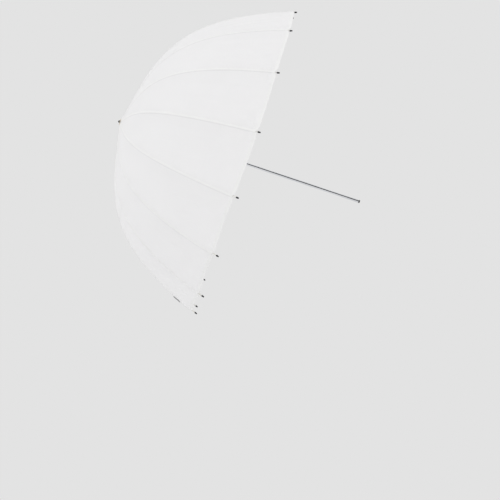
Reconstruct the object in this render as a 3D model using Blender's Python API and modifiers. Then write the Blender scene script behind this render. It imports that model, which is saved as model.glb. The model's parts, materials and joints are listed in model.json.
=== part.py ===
"""Shoot-through umbrella reflector for studio flash and continuous lights.

The shaft lies along the X axis: the crown of the canopy points to -X and the
opening and the free end of the shaft point to +X.  The origin is the centre of
the flat face at the free end of the shaft.  Metres, +Z up, shown fully open.

Sixteen curved ribs are threaded on a wire ring in the top notch.  Each rib is
propped by a stretcher whose inner end hooks on a second wire ring in the
runner, and the runner slides on the shaft.  The four-bar loops are isosceles:
the stretcher is as long as the rib is from its notch pivot to its prop pivot.
"""

import math

import bmesh
import bpy
from mathutils import Matrix, Vector

# ---------------------------------------------------------------- dimensions
RIBS = 16
STEP_ANGLE = math.tau / RIBS
FIRST_AZIMUTH = STEP_ANGLE / 2        # first rib, turned from +Z towards -Y

RIM_RADIUS = 0.425                    # shaft axis to a rib end
DEPTH = 0.34875                       # crown to the plane of the rib ends
CONE_SHARE = 0.24                     # straight part of the dome's section
REACH = 0.675                         # crown to the free end of the shaft

SHAFT_RADIUS = 0.004
SHAFT_BORE = 0.0032
GAP = 0.0003                          # clearance between touching pieces

FABRIC = 0.0006
FABRIC_HOLE = 0.0046
HEM_BACK = 0.0090                     # on a rib, the fabric ends this far before the rod
HEM_BELLY = 0.004                     # the hem reaches further between two ribs
CANOPY_ROWS = 12

ROD_RADIUS = 0.0015                   # rib rod
ROD_OFFSET = 0.0042                   # outer fabric face to the rod's centre
END_OFFSET = 0.0030                   # the same at the rib end, where the rod meets the hem
PIVOT_RADIUS = 0.0105                 # both wire rings
NOTCH_PIVOT = 0.0075                  # notch ring, measured from the crown
PROP_AT = 0.595                       # prop pivot, share of the rim radius
PROP_DROP = 0.0046                    # rod centre to the prop pivot
WIRE_RADIUS = 0.0004
EYE_BORE = 0.00075
EYE_RADIUS = 0.0021
BLADE = 0.0016                        # thickness of every flattened rod end
SLOT = 0.0022                         # slots in the notch and the runner
FLANGE_RADIUS = 0.0128
FLANGE = 0.006                        # thickness of both slotted flanges
SLOT_FLOOR = 0.0076

STRETCHER_RADIUS = 0.00125
PIN_RADIUS = 0.0008
PIN_HOLE = 0.0010
FORK_GAP = 0.0011                     # half the gap between the two ears
EAR = 0.0008

RUNNER_BORE = 0.0043
SLEEVE_RADIUS = 0.0062
SLEEVE = 0.036                        # runner pivot to the grip collar
COLLAR_RADIUS = 0.0086
RUNNER_END = 0.043                    # runner pivot to the end of the collar

CATCH_WIDTH = 0.0024
CATCH_LENGTH = 0.0034
CATCH_HEIGHT = 0.0024                 # how far the catch stands out of the shaft
RUNNER_STOP = 0.0020                  # end wall of the runner that the catch holds


# ------------------------------------------------------------ dome geometry
def dome(radius):
    """Depth of the outer fabric face below the crown at this radius."""
    q = radius / RIM_RADIUS
    return DEPTH * (CONE_SHARE * q + (1 - CONE_SHARE) * q ** 4)


def dome_slope(radius):
    q = radius / RIM_RADIUS
    return DEPTH * (CONE_SHARE + 4 * (1 - CONE_SHARE) * q ** 3) / RIM_RADIUS


def arc_table(steps=4000):
    """(radius, arc length from the crown) along one rib line."""
    table = [(0.0, 0.0)]
    for i in range(1, steps + 1):
        r = RIM_RADIUS * i / steps
        last, arc = table[-1]
        table.append((r, arc + math.hypot(r - last, dome(r) - dome(last))))
    return table


ARC = arc_table()
ARC_LENGTH = ARC[-1][1]


def radius_at(arc):
    """Radius of the rib line at this arc length from the crown."""
    low, high = 0, len(ARC) - 1
    while high - low > 1:
        mid = (low + high) // 2
        if ARC[mid][1] <= arc:
            low = mid
        else:
            high = mid
    (r0, a0), (r1, a1) = ARC[low], ARC[high]
    return r0 + (r1 - r0) * (arc - a0) / (a1 - a0)


def rod_point(radius, drop=0.0):
    """Centre of the rib rod below the fabric at this radius, as (depth, radius).
    Near the notch the rod dips to reach its pivot."""
    slope = dome_slope(radius)
    length = math.hypot(1, slope)
    q = min(max((radius / RIM_RADIUS - 0.78) / 0.22, 0.0), 1.0)
    off = ROD_OFFSET + (END_OFFSET - ROD_OFFSET) * q * q * (3 - 2 * q) + drop
    depth = dome(radius) + off / length
    out = radius - off * slope / length
    return depth, out


def rib_line(points=13):
    """Rib rod centre line from the notch pivot to the rib end, as (depth, radius)."""
    line = []
    arc_start = 0.004
    for i in range(points):
        share = i / (points - 1)
        # the rod bends most near the rim, so the points crowd there
        share = 1 - (1 - share) ** 1.35
        arc = arc_start + (ARC_LENGTH - arc_start) * share
        depth, out = rod_point(radius_at(arc))
        line.append((depth, out))
    lift = NOTCH_PIVOT - line[0][0]
    shift = PIVOT_RADIUS - line[0][1]
    fixed = []
    for depth, out in line:
        fade = math.exp(-(out - line[0][1]) / 0.030)
        fixed.append((depth + lift * fade, out + shift * fade))
    return fixed


def x_of(depth):
    """World X of a point this far below the crown."""
    return depth - REACH


def radial(azimuth):
    return Vector((0, -math.sin(azimuth), math.cos(azimuth)))


NOTCH = (NOTCH_PIVOT, PIVOT_RADIUS)
PROP = rod_point(PROP_AT * RIM_RADIUS, PROP_DROP)
PROP_DX = PROP[0] - NOTCH[0]
PROP_DZ = PROP[1] - NOTCH[1]
STRETCHER = math.hypot(PROP_DX, PROP_DZ)
RUNNER_PIVOT = NOTCH_PIVOT + 2 * PROP_DX      # runner ring, from the crown
CATCH_AT = RUNNER_PIVOT + RUNNER_END + 0.0005


# -------------------------------------------------------------------- scene
for old in list(bpy.data.objects):
    bpy.data.objects.remove(old, do_unlink=True)

umbrella = bpy.data.collections.new("umbrella_reflector")
cutters = bpy.data.collections.new("cutters")
bpy.context.scene.collection.children.link(umbrella)
bpy.context.scene.collection.children.link(cutters)
cutters.hide_render = True


def material(name, colour, roughness, metallic, alpha=1.0):
    made = bpy.data.materials.new(name)
    made.use_nodes = True
    shader = made.node_tree.nodes["Principled BSDF"]
    shader.inputs["Base Color"].default_value = (*colour, 1.0)
    shader.inputs["Roughness"].default_value = roughness
    shader.inputs["Metallic"].default_value = metallic
    shader.inputs["Alpha"].default_value = alpha
    made.diffuse_color = (*colour, 1.0)
    return made


NYLON = material("white_nylon", (0.90, 0.90, 0.92), 0.75, 0.0)
WEBBING = material("grey_webbing", (0.45, 0.45, 0.46), 0.85, 0.0)
FIBREGLASS = material("pale_fibreglass", (0.80, 0.79, 0.74), 0.35, 0.0)
STEEL = material("zinc_plated_steel", (0.62, 0.63, 0.65), 0.32, 1.0)
CHROME = material("polished_shaft", (0.80, 0.80, 0.82), 0.10, 1.0)
DARK = material("blackened_steel", (0.05, 0.05, 0.055), 0.35, 1.0)
BRASS = material("brass", (0.72, 0.60, 0.40), 0.35, 1.0)
BLACK_PLASTIC = material("black_plastic", (0.03, 0.03, 0.032), 0.45, 0.0)
GREY_PLASTIC = material("grey_plastic", (0.35, 0.35, 0.36), 0.45, 0.0)


def piece(name, mesh, finish, smooth=40):
    """A finished piece of the umbrella, smooth but for its sharp edges."""
    mesh.materials.clear()
    mesh.materials.append(finish)
    mesh.shade_smooth()
    mesh.set_sharp_from_angle(angle=math.radians(smooth))
    obj = bpy.data.objects.new(name, mesh)
    umbrella.objects.link(obj)
    return obj


def helper(obj):
    """Keeps a cutter or a joined shape out of the model."""
    for owner in list(obj.users_collection):
        owner.objects.unlink(obj)
    cutters.objects.link(obj)
    obj.hide_render = True
    obj.display_type = "WIRE"
    return obj


def meshed(obj, remove=True):
    """The evaluated shape of obj in world space as a mesh with welded caps."""
    bpy.context.view_layer.update()
    graph = bpy.context.evaluated_depsgraph_get()
    evaluated = obj.evaluated_get(graph)
    mesh = bpy.data.meshes.new_from_object(evaluated)
    mesh.transform(obj.matrix_world)
    bm = bmesh.new()
    bm.from_mesh(mesh)
    bmesh.ops.remove_doubles(bm, verts=bm.verts, dist=1e-6)
    bmesh.ops.recalc_face_normals(bm, faces=bm.faces)
    bm.to_mesh(mesh)
    bm.free()
    if remove:
        bpy.data.objects.remove(obj, do_unlink=True)
    return mesh


def shape(name, mesh):
    obj = bpy.data.objects.new(name, mesh)
    return helper(obj) if not cutters.objects.link(obj) else obj


def plate(name, outlines, thickness, side=0.0):
    """A flat plate in the X-Z plane from closed outlines of (x, z) points.
    The first outline is the edge and any others are holes."""
    curve = bpy.data.curves.new(name, "CURVE")
    curve.dimensions = "2D"
    curve.fill_mode = "BOTH"
    curve.extrude = thickness / 2
    for outline in outlines:
        spline = curve.splines.new("POLY")
        spline.points.add(len(outline) - 1)
        for point, (x, z) in zip(spline.points, outline):
            point.co = (x, z, 0, 1)
        spline.use_cyclic_u = True
    obj = bpy.data.objects.new(name, curve)
    cutters.objects.link(obj)
    obj.rotation_euler = (math.radians(90), 0, 0)
    obj.location = (0, side, 0)
    return shape(name, meshed(obj))


def rod(name, points, radius, sides_per_quarter=1):
    """A round rod along points given as (x, y, z)."""
    curve = bpy.data.curves.new(name, "CURVE")
    curve.dimensions = "3D"
    curve.bevel_depth = radius
    curve.bevel_resolution = sides_per_quarter
    curve.use_fill_caps = True
    spline = curve.splines.new("POLY")
    spline.points.add(len(points) - 1)
    for point, co in zip(spline.points, points):
        point.co = (*co, 1)
    obj = bpy.data.objects.new(name, curve)
    cutters.objects.link(obj)
    return shape(name, meshed(obj))


def cylinder(name, radius, length, centre, axis, sides=16, end_radius=None):
    """A cylinder or a cone about any axis."""
    bm = bmesh.new()
    turn = Vector((0, 0, 1)).rotation_difference(Vector(axis)).to_matrix().to_4x4()
    bmesh.ops.create_cone(
        bm,
        cap_ends=True,
        segments=sides,
        radius1=radius,
        radius2=radius if end_radius is None else end_radius,
        depth=length,
        matrix=Matrix.Translation(Vector(centre)) @ turn,
    )
    mesh = bpy.data.meshes.new(name)
    bm.to_mesh(mesh)
    bm.free()
    return shape(name, mesh)


def box(name, size, centre, turn=None):
    bm = bmesh.new()
    matrix = Matrix.Translation(Vector(centre))
    if turn is not None:
        matrix = matrix @ turn
    bmesh.ops.create_cube(bm, size=1.0, matrix=matrix @ Matrix.Diagonal((*size, 1)))
    mesh = bpy.data.meshes.new(name)
    bm.to_mesh(mesh)
    bm.free()
    return shape(name, mesh)


def turned(name, profile, sides=24):
    """A turned shape about X.  profile runs round the section as (x, radius),
    from the crown end along the outer side to the opening end and back."""
    mesh = bpy.data.meshes.new(name + "_profile")
    bm = bmesh.new()
    verts = [bm.verts.new((r, 0, -x)) for x, r in profile]
    closed = all(r > 1e-9 for _, r in profile)
    for a, b in zip(verts, verts[1:]):
        bm.edges.new((a, b))
    if closed:
        bm.edges.new((verts[-1], verts[0]))
    bm.to_mesh(mesh)
    bm.free()
    obj = bpy.data.objects.new(name, mesh)
    cutters.objects.link(obj)
    screw = obj.modifiers.new("Screw", "SCREW")
    screw.axis = "Z"
    screw.angle = math.tau
    screw.steps = screw.render_steps = sides
    screw.use_merge_vertices = True
    screw.merge_threshold = 0.00001
    # the Z axis of the lathe becomes the -X axis of the umbrella
    obj.rotation_euler = (0, math.radians(-90), 0)
    return shape(name, meshed(obj))


def boolean(base, others, operation="UNION"):
    for other in others:
        step = base.modifiers.new(operation.title(), "BOOLEAN")
        step.operation = operation
        step.solver = "EXACT"
        step.object = other
    mesh = meshed(base)
    for other in others:
        bpy.data.objects.remove(other, do_unlink=True)
    return shape("joined", mesh)


def take(obj):
    """The mesh of a helper, whose object is then removed."""
    mesh = obj.data
    bpy.data.objects.remove(obj, do_unlink=True)
    return mesh


def arc_points(centre, radius, start, end, count):
    """Points (x, z) on an arc, angles in degrees from +X towards +Z."""
    found = []
    for i in range(count):
        angle = math.radians(start + (end - start) * i / (count - 1))
        found.append(
            (centre[0] + radius * math.cos(angle), centre[1] + radius * math.sin(angle))
        )
    return found


def turned_outline(points, direction, at=(0, 0)):
    """Outline points given as (along, across) laid out along a direction (x, z)."""
    dx, dz = direction
    return [
        (at[0] + a * dx - b * dz, at[1] + a * dz + b * dx)
        for a, b in points
    ]


# ---------------------------------------------------------------------- rib
def make_rib():
    """One rib about its notch pivot: X towards the opening, Z outwards."""
    line = [(d - NOTCH[0], r - NOTCH[1]) for d, r in rib_line()]
    first = Vector(line[1]) - Vector(line[0])
    first.normalize()
    start = 0.0058
    # the eye and its neck, flattened from the rod
    neck = 0.0011
    spread = math.degrees(math.asin(neck / EYE_RADIUS))
    edge = arc_points((0, 0), EYE_RADIUS, spread, 360 - spread, 8)
    edge += [(0.0090, -neck), (0.0090, neck)]
    hole = arc_points((0, 0), EYE_BORE * 1.08, 0, 300, 6)
    direction = (first.x, first.y)
    eye = plate(
        "rib_eye",
        [turned_outline(edge, direction), turned_outline(hole, direction)],
        BLADE,
    )
    points = [(first.x * start, 0, first.y * start)]
    points += [(x, 0, z) for x, z in line[1:]]
    body = rod("rib_rod", points, ROD_RADIUS, 1)
    # crimped saddle with two ears and its rivet
    pivot = Vector((PROP_DX, PROP_DZ))
    depth, out = rod_point(PROP_AT * RIM_RADIUS)
    seat = Vector((depth - NOTCH[0], out - NOTCH[1]))
    across = (pivot - seat).normalized()
    along = Vector((-across.y, across.x))
    if along.y < 0:
        along = -along
    ring = 0.0021
    saddle = cylinder(
        "saddle", ROD_RADIUS + 0.00055, 0.011, (seat.x, 0, seat.y),
        (along.x, 0, along.y), sides=8,
    )
    ears = []
    for sign in (-1, 1):
        reach = PROP_DROP
        outline = [(-0.0030, 0.0)]
        outline += arc_points((0, reach), ring, 180, 0, 5)
        outline += [(0.0030, 0.0)]
        laid = [
            (seat.x + a * along.x + b * across.x, seat.y + a * along.y + b * across.y)
            for a, b in outline
        ]
        ears.append(
            plate("ear", [laid], EAR, side=sign * (FORK_GAP + EAR / 2))
        )
    pin = cylinder(
        "rivet", PIN_RADIUS, 2 * (FORK_GAP + EAR + 0.0005), (pivot.x, 0, pivot.y),
        (0, 1, 0), sides=8,
    )
    whole = boolean(body, [eye, saddle, *ears, pin])
    return take(whole)


# ---------------------------------------------------------------- stretcher
def make_stretcher():
    """One stretcher about its prop pivot, lying along the open position."""
    length = STRETCHER
    direction = Vector((PROP_DX, -PROP_DZ)) / length     # towards the runner
    # outer end: an eye on the rivet
    neck = 0.0010
    spread = math.degrees(math.asin(neck / 0.0020))
    edge = arc_points((0, 0), 0.0020, spread, 360 - spread, 8)
    edge += [(0.0095, -neck), (0.0095, neck)]
    hole = arc_points((0, 0), PIN_HOLE * 1.08, 0, 300, 6)
    outer = plate(
        "stretcher_eye",
        [turned_outline(edge, direction), turned_outline(hole, direction)],
        BLADE,
    )
    # inner end: a hook, open on the side the ring leaves it by
    back = -direction
    hook = arc_points((0, 0), EYE_RADIUS, 125, 262, 5)
    hook += [(0.0050, -0.0018), (0.0100, -neck), (0.0100, neck), (0.0065, neck)]
    hook += arc_points((0, 0), EYE_BORE, -62, -235, 5)
    at = direction * length
    inner = plate(
        "stretcher_hook", [turned_outline(hook, (back.x, back.y), (at.x, at.y))], BLADE
    )
    bar = rod(
        "stretcher_rod",
        [
            (direction.x * a, 0, direction.y * a)
            for a in (0.0068, length / 2, length - 0.0075)
        ],
        STRETCHER_RADIUS,
        1,
    )
    return take(boolean(bar, [outer, inner]))


# ------------------------------------------------------------------ rib tip
def make_tip():
    """Cap on a rib end, along the rod's last stretch, origin at the rod's end."""
    line = rib_line()
    end = Vector(line[-1])
    along = (end - Vector(line[-2])).normalized()
    bore, wall, reach, nose = ROD_RADIUS + 0.0001, 0.0021, 0.0044, 0.0036
    profile = [
        (GAP, 0.0),
        (GAP, bore),
        (-reach, bore),
        (-reach, wall),
        (0.0008, wall),
        (0.0014, 0.0014),
        (0.0020, 0.0014),
        (0.0026, 0.0021),
        (nose - 0.0006, 0.0018),
        (nose, 0.0008),
        (nose, 0.0),
    ]
    tip = turned("tip", profile, 8)
    mesh = take(tip)
    turn = Vector((1, 0, 0)).rotation_difference(Vector((along.x, 0, along.y)))
    mesh.transform(turn.to_matrix().to_4x4())
    return mesh, end


# ------------------------------------------------------------------- canopy
def make_canopy():
    """Sixteen gores as one closed sheet: a dome spun about X, then drawn flat
    between the ribs, with the hem a little longer between them."""
    hem = ARC_LENGTH - HEM_BACK
    first = FABRIC_HOLE

    def row_arc(i):
        share = i / (CANOPY_ROWS - 1)
        return first + (hem - first) * (1 - (1 - share) ** 1.25)

    bm = bmesh.new()
    verts = [bm.verts.new((row_arc(i), 0, 1)) for i in range(CANOPY_ROWS)]
    edges = [bm.edges.new(pair) for pair in zip(verts, verts[1:])]
    bmesh.ops.spin(
        bm, geom=verts + edges, cent=(0, 0, 0), axis=(1, 0, 0),
        angle=math.tau, steps=2 * RIBS,
    )
    bmesh.ops.remove_doubles(bm, verts=bm.verts, dist=1e-5)
    for vert in bm.verts:
        arc = vert.co.x
        turn = round(math.atan2(-vert.co.y, vert.co.z) / (STEP_ANGLE / 2))
        azimuth = turn * STEP_ANGLE / 2
        share = (arc - first) / (hem - first)
        between = turn % 2 == 0
        if between:
            arc += HEM_BELLY * share ** 5
        r = radius_at(arc)
        depth = dome(r)
        if between:
            r *= math.cos(STEP_ANGLE / 2)
        vert.co = Vector((x_of(depth), 0, 0)) + radial(azimuth) * r
    bmesh.ops.recalc_face_normals(bm, faces=bm.faces)
    # normals point to the crown side
    probe = max(bm.faces, key=lambda face: face.calc_center_median().yz.length)
    if probe.normal.yz.dot(probe.calc_center_median().yz) < 0:
        bmesh.ops.reverse_faces(bm, faces=bm.faces)
    mesh = bpy.data.meshes.new("canopy")
    bm.to_mesh(mesh)
    bm.free()
    obj = piece("canopy", mesh, NYLON, 60)
    skin = obj.modifiers.new("Solidify", "SOLIDIFY")
    skin.thickness = FABRIC
    skin.offset = -1
    skin.use_even_offset = True
    return obj


canopy = make_canopy()

# --------------------------------------------------------- shaft and fittings
tube_start = -0.0010
tube = turned(
    "shaft_tube",
    [
        (x_of(tube_start), SHAFT_BORE),
        (x_of(tube_start), SHAFT_RADIUS),
        (-0.0034, SHAFT_RADIUS),
        (-0.0034, SHAFT_BORE),
    ],
    24,
)
catch_x = x_of(CATCH_AT)
slot = box(
    "catch_slot",
    (CATCH_LENGTH + 0.0007, CATCH_WIDTH + 0.0006, 0.006),
    (catch_x + CATCH_LENGTH / 2, 0, 0.005),
)
shaft = piece("shaft_tube", take(boolean(tube, [slot], "DIFFERENCE")), CHROME)

end_cap = piece(
    "shaft_end_cap",
    take(turned(
        "end_cap",
        [
            (-0.0150, 0.0),
            (-0.0150, 0.0023),
            (-0.0143, 0.0029),
            (-0.0031, 0.0029),
            (-0.0031, 0.0040),
            (-0.0006, 0.0040),
            (0.0, 0.0034),
            (0.0, 0.0),
        ],
        24,
    )),
    BLACK_PLASTIC,
)
end_cap.parent = shaft

ferrule = piece(
    "ferrule",
    take(turned(
        "ferrule",
        [
            (x_of(-0.0056), 0.0),
            (x_of(-0.0054), 0.0013),
            (x_of(-0.0048), 0.0023),
            (x_of(-0.0038), 0.0030),
            (x_of(-0.0026), 0.0033),
            (x_of(-0.0013), 0.0034),
            (x_of(-0.0013), 0.0029),
            (x_of(0.0120), 0.0029),
            (x_of(0.0126), 0.0023),
            (x_of(0.0126), 0.0),
        ],
        20,
    )),
    DARK,
)
ferrule.parent = shaft

washer = piece(
    "crown_washer",
    take(turned(
        "crown_washer",
        [
            (x_of(-0.0010), SHAFT_RADIUS + GAP),
            (x_of(-0.0010), 0.0068),
            (x_of(-0.0004), 0.0085),
            (x_of(0.0005), 0.0085),
            (x_of(-0.0002), 0.0066),
            (x_of(-0.0002), SHAFT_RADIUS + GAP),
        ],
        28,
    )),
    BRASS,
)
washer.parent = shaft


def slotted(name, profile, pivot_x, turn):
    """A turned body with one radial slot a rib and a bore for its ring wire."""
    body = turned(name, profile, RIBS)
    tools = []
    for k in range(RIBS):
        azimuth = FIRST_AZIMUTH + k * STEP_ANGLE
        mid = (SLOT_FLOOR + FLANGE_RADIUS + 0.004) / 2
        tools.append(
            box(
                "slot",
                (FLANGE + 0.004, SLOT, FLANGE_RADIUS + 0.004 - SLOT_FLOOR),
                Vector((pivot_x, 0, 0)) + radial(azimuth) * mid,
                Matrix.Rotation(azimuth, 4, "X"),
            )
        )
    mesh = bpy.data.meshes.new("ring_bore")
    bm = bmesh.new()
    around, across = RIBS, 6
    rings = []
    for i in range(around):
        azimuth = FIRST_AZIMUTH + math.tau * i / around
        ring = []
        for j in range(across):
            angle = math.tau * (j + 0.5) / across
            out = PIVOT_RADIUS + EYE_BORE * math.sin(angle)
            ring.append(
                bm.verts.new(
                    Vector((pivot_x + EYE_BORE * math.cos(angle), 0, 0))
                    + radial(azimuth) * out
                )
            )
        rings.append(ring)
    for i in range(around):
        a, b = rings[i], rings[(i + 1) % around]
        for j in range(across):
            k = (j + 1) % across
            bm.faces.new((a[j], a[k], b[k], b[j]))
    bmesh.ops.recalc_face_normals(bm, faces=bm.faces)
    bm.to_mesh(mesh)
    bm.free()
    body = boolean(body, tools, "DIFFERENCE")
    return take(boolean(body, [shape("ring_bore", mesh)], "DIFFERENCE"))


def ring_wire(name, pivot_x):
    """A thin wire ring, as a closed round curve."""
    curve = bpy.data.curves.new(name, "CURVE")
    curve.dimensions = "3D"
    curve.bevel_depth = WIRE_RADIUS
    curve.bevel_resolution = 1
    spline = curve.splines.new("POLY")
    spline.points.add(RIBS - 1)
    for i, point in enumerate(spline.points):
        azimuth = FIRST_AZIMUTH + i * STEP_ANGLE
        co = Vector((pivot_x, 0, 0)) + radial(azimuth) * PIVOT_RADIUS
        point.co = (*co, 1)
    spline.use_cyclic_u = True
    obj = bpy.data.objects.new(name, curve)
    cutters.objects.link(obj)
    return meshed(obj)


half = FLANGE / 2
notch_x = x_of(NOTCH_PIVOT)
notch = piece(
    "top_notch",
    slotted(
        "top_notch",
        [
            (x_of(0.0024), SHAFT_RADIUS + GAP),
            (x_of(0.0024), 0.0066),
            (notch_x - half, 0.0095),
            (notch_x - half, FLANGE_RADIUS - 0.0005),
            (notch_x - half + 0.0005, FLANGE_RADIUS),
            (notch_x + half - 0.0005, FLANGE_RADIUS),
            (notch_x + half, FLANGE_RADIUS - 0.0005),
            (notch_x + half, 0.0064),
            (notch_x + half + 0.006, 0.0060),
            (notch_x + half + 0.006, SHAFT_RADIUS + GAP),
        ],
        notch_x,
        0,
    ),
    BLACK_PLASTIC,
    30,
)
notch.parent = shaft
notch_wire = piece("notch_wire", ring_wire("notch_wire", notch_x), STEEL)
notch_wire.parent = shaft

runner_x = x_of(RUNNER_PIVOT)
runner_body = shape(
    "runner_body",
    slotted(
        "runner_blank",
        [
            (runner_x - half, RUNNER_BORE),
            (runner_x - half, FLANGE_RADIUS - 0.0005),
            (runner_x - half + 0.0005, FLANGE_RADIUS),
            (runner_x + half - 0.0005, FLANGE_RADIUS),
            (runner_x + half, FLANGE_RADIUS - 0.0005),
            (runner_x + half, SLEEVE_RADIUS + 0.0003),
            (runner_x + half + 0.0004, SLEEVE_RADIUS),
            (runner_x + SLEEVE - 0.0014, SLEEVE_RADIUS),
            (runner_x + SLEEVE, COLLAR_RADIUS - 0.0006),
            (runner_x + SLEEVE + 0.0008, COLLAR_RADIUS),
            (runner_x + RUNNER_END - 0.0010, COLLAR_RADIUS),
            (runner_x + RUNNER_END, COLLAR_RADIUS - 0.0010),
            (runner_x + RUNNER_END, RUNNER_BORE),
        ],
        runner_x,
        0,
    ),
)
# groove for the catch, open at the flange and closed by the end wall
groove_start = runner_x - half - 0.002
groove_end = runner_x + RUNNER_END - RUNNER_STOP
groove = box(
    "catch_groove",
    (groove_end - groove_start, CATCH_WIDTH + 0.0006, 0.0045),
    ((groove_start + groove_end) / 2, 0, SHAFT_RADIUS + 0.0005),
)
runner = piece(
    "runner", take(boolean(runner_body, [groove], "DIFFERENCE")), BLACK_PLASTIC, 30
)
runner_wire = piece("runner_wire", ring_wire("runner_wire", runner_x), STEEL)
runner_wire.parent = runner

# ----------------------------------------------------------- runner catch
# tooth, square towards the runner and ramped on the other side
tooth = plate(
    "tooth",
    [[
        (catch_x + 0.0003, 0.0020),
        (catch_x + 0.0003, SHAFT_RADIUS + CATCH_HEIGHT - 0.0003),
        (catch_x + 0.0006, SHAFT_RADIUS + CATCH_HEIGHT),
        (catch_x + 0.0012, SHAFT_RADIUS + CATCH_HEIGHT),
        (catch_x + CATCH_LENGTH, SHAFT_RADIUS + 0.0002),
        (catch_x + CATCH_LENGTH, 0.0020),
    ]],
    CATCH_WIDTH,
)
foot = box(
    "foot",
    (0.0100, 0.0032, 0.0010),
    (catch_x + CATCH_LENGTH / 2, 0, 0.0018),
)
catch = piece("latch_catch", take(boolean(tooth, [foot])), STEEL, 30)

spring_mid = catch_x + CATCH_LENGTH / 2
bow = []
for i in range(13):
    share = i / 12
    bow.append((
        spring_mid + (share - 0.5) * 0.034,
        -0.00245 + 0.0032 * math.sin(math.pi * share) ** 2,
    ))
top = [(x, z + 0.0002) for x, z in bow]
bottom = [(x, z - 0.0002) for x, z in reversed(bow)]
spring = piece(
    "latch_spring", take(plate("latch_spring", [top + bottom], 0.0026)), STEEL, 30
)
spring.parent = shaft

# ------------------------------------------------- ribs, caps and stretchers
rib_mesh = make_rib()
stretcher_mesh = make_stretcher()
tip_mesh, rod_end = make_tip()
for k in range(RIBS):
    azimuth = FIRST_AZIMUTH + k * STEP_ANGLE
    number = f"{k + 1:02d}"
    rib = piece(f"rib_{number}", rib_mesh, FIBREGLASS, 35)
    rib.location = Vector((x_of(NOTCH[0]), 0, 0)) + radial(azimuth) * NOTCH[1]
    rib.rotation_euler = (azimuth, 0, 0)
    tip = piece(f"rib_tip_{number}", tip_mesh, DARK, 30)
    tip.parent = rib
    tip.location = (rod_end.x - NOTCH[0], 0, rod_end.y - NOTCH[1])
    stretcher = piece(f"stretcher_{number}", stretcher_mesh, STEEL, 35)
    stretcher.parent = rib
    stretcher.location = (PROP_DX, 0, PROP_DZ)

# ------------------------------------------------------------ closing strap
# sewn to one gore near the hem, its free end standing off at the rib line
STRAP_LENGTH = 0.080
STRAP_WIDTH = 0.0235
STRAP_THICK = 0.0014
STRAP_FROM_TIP = 0.0615               # arc from the rib end to the strap's middle
strap_rib = 7                         # eighth rib; the strap runs on to the ninth
arc = ARC_LENGTH - STRAP_FROM_TIP
seat_r = radius_at(arc)
near = FIRST_AZIMUTH + strap_rib * STEP_ANGLE
far = near + STEP_ANGLE
p_near = Vector((x_of(dome(seat_r)), 0, 0)) + radial(near) * seat_r
p_far = Vector((x_of(dome(seat_r)), 0, 0)) + radial(far) * seat_r
side = (p_far - p_near).normalized()
mid_dir = radial((near + far) / 2)
slope = dome_slope(seat_r)
meridian = (mid_dir + Vector((slope, 0, 0))).normalized()
normal = side.cross(meridian)
if normal.dot(mid_dir) < 0:
    normal = -normal
strap = bpy.data.meshes.new("closing_strap")
bm = bmesh.new()
stations = 9
bmesh.ops.create_grid(bm, x_segments=stations - 1, y_segments=4, size=0.5)
for vert in bm.verts:
    run = vert.co.x + 0.5
    width = vert.co.y * STRAP_WIDTH
    lift = 0.0012 + 0.0022 * (1 - run) ** 3
    # follow the curve of the gore along the meridian
    lift -= 0.5 * (width ** 2) * 2.2
    vert.co = (
        p_near
        + side * (-0.002 + run * STRAP_LENGTH)
        + meridian * width
        + normal * lift
    )
bmesh.ops.recalc_face_normals(bm, faces=bm.faces)
if sum((face.normal.dot(normal) for face in bm.faces)) < 0:
    bmesh.ops.reverse_faces(bm, faces=bm.faces)
bm.to_mesh(strap)
bm.free()
strap_object = piece("closing_strap", strap, WEBBING, 40)
webbing = strap_object.modifiers.new("Solidify", "SOLIDIFY")
webbing.thickness = STRAP_THICK
webbing.offset = 1

print(
    f"stretcher {STRETCHER * 1000:.2f} mm, prop pivot depth {PROP[0] * 1000:.2f} mm"
    f" radius {PROP[1] * 1000:.2f} mm, runner pivot depth {RUNNER_PIVOT * 1000:.2f} mm"
)
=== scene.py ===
"""Looks of the shoot-through umbrella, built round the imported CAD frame.

Metres, shaft along X, crown at -X, free end of the shaft at the origin.
"""

import json
import math

import bmesh
import bpy
import numpy as np
from mathutils import Matrix, Vector


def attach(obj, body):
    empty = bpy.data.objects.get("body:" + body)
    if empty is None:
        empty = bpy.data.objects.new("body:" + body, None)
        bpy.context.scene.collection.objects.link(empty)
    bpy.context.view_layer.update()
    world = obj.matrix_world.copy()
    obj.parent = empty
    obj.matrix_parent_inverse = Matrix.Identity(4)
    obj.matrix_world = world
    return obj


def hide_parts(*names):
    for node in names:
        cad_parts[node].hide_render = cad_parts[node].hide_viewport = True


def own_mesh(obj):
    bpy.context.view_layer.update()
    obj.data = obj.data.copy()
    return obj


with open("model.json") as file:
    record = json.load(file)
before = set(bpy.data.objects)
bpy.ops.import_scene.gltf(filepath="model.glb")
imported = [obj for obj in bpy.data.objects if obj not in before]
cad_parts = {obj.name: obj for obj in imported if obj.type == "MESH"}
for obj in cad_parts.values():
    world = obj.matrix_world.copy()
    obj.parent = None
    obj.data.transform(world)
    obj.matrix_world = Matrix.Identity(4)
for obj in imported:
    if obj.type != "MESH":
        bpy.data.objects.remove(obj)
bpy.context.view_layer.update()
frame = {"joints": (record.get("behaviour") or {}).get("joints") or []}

joints = {joint["name"]: joint for joint in frame["joints"]}

# ------------------------------------------------------------ numbers
RIBS = 16
STEP = math.tau / RIBS
FIRST = STEP / 2
RIM = 0.425
DEPTH = 0.34875
CONE = 0.24
REACH = 0.675
FABRIC_HOLE = 0.0046

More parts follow.
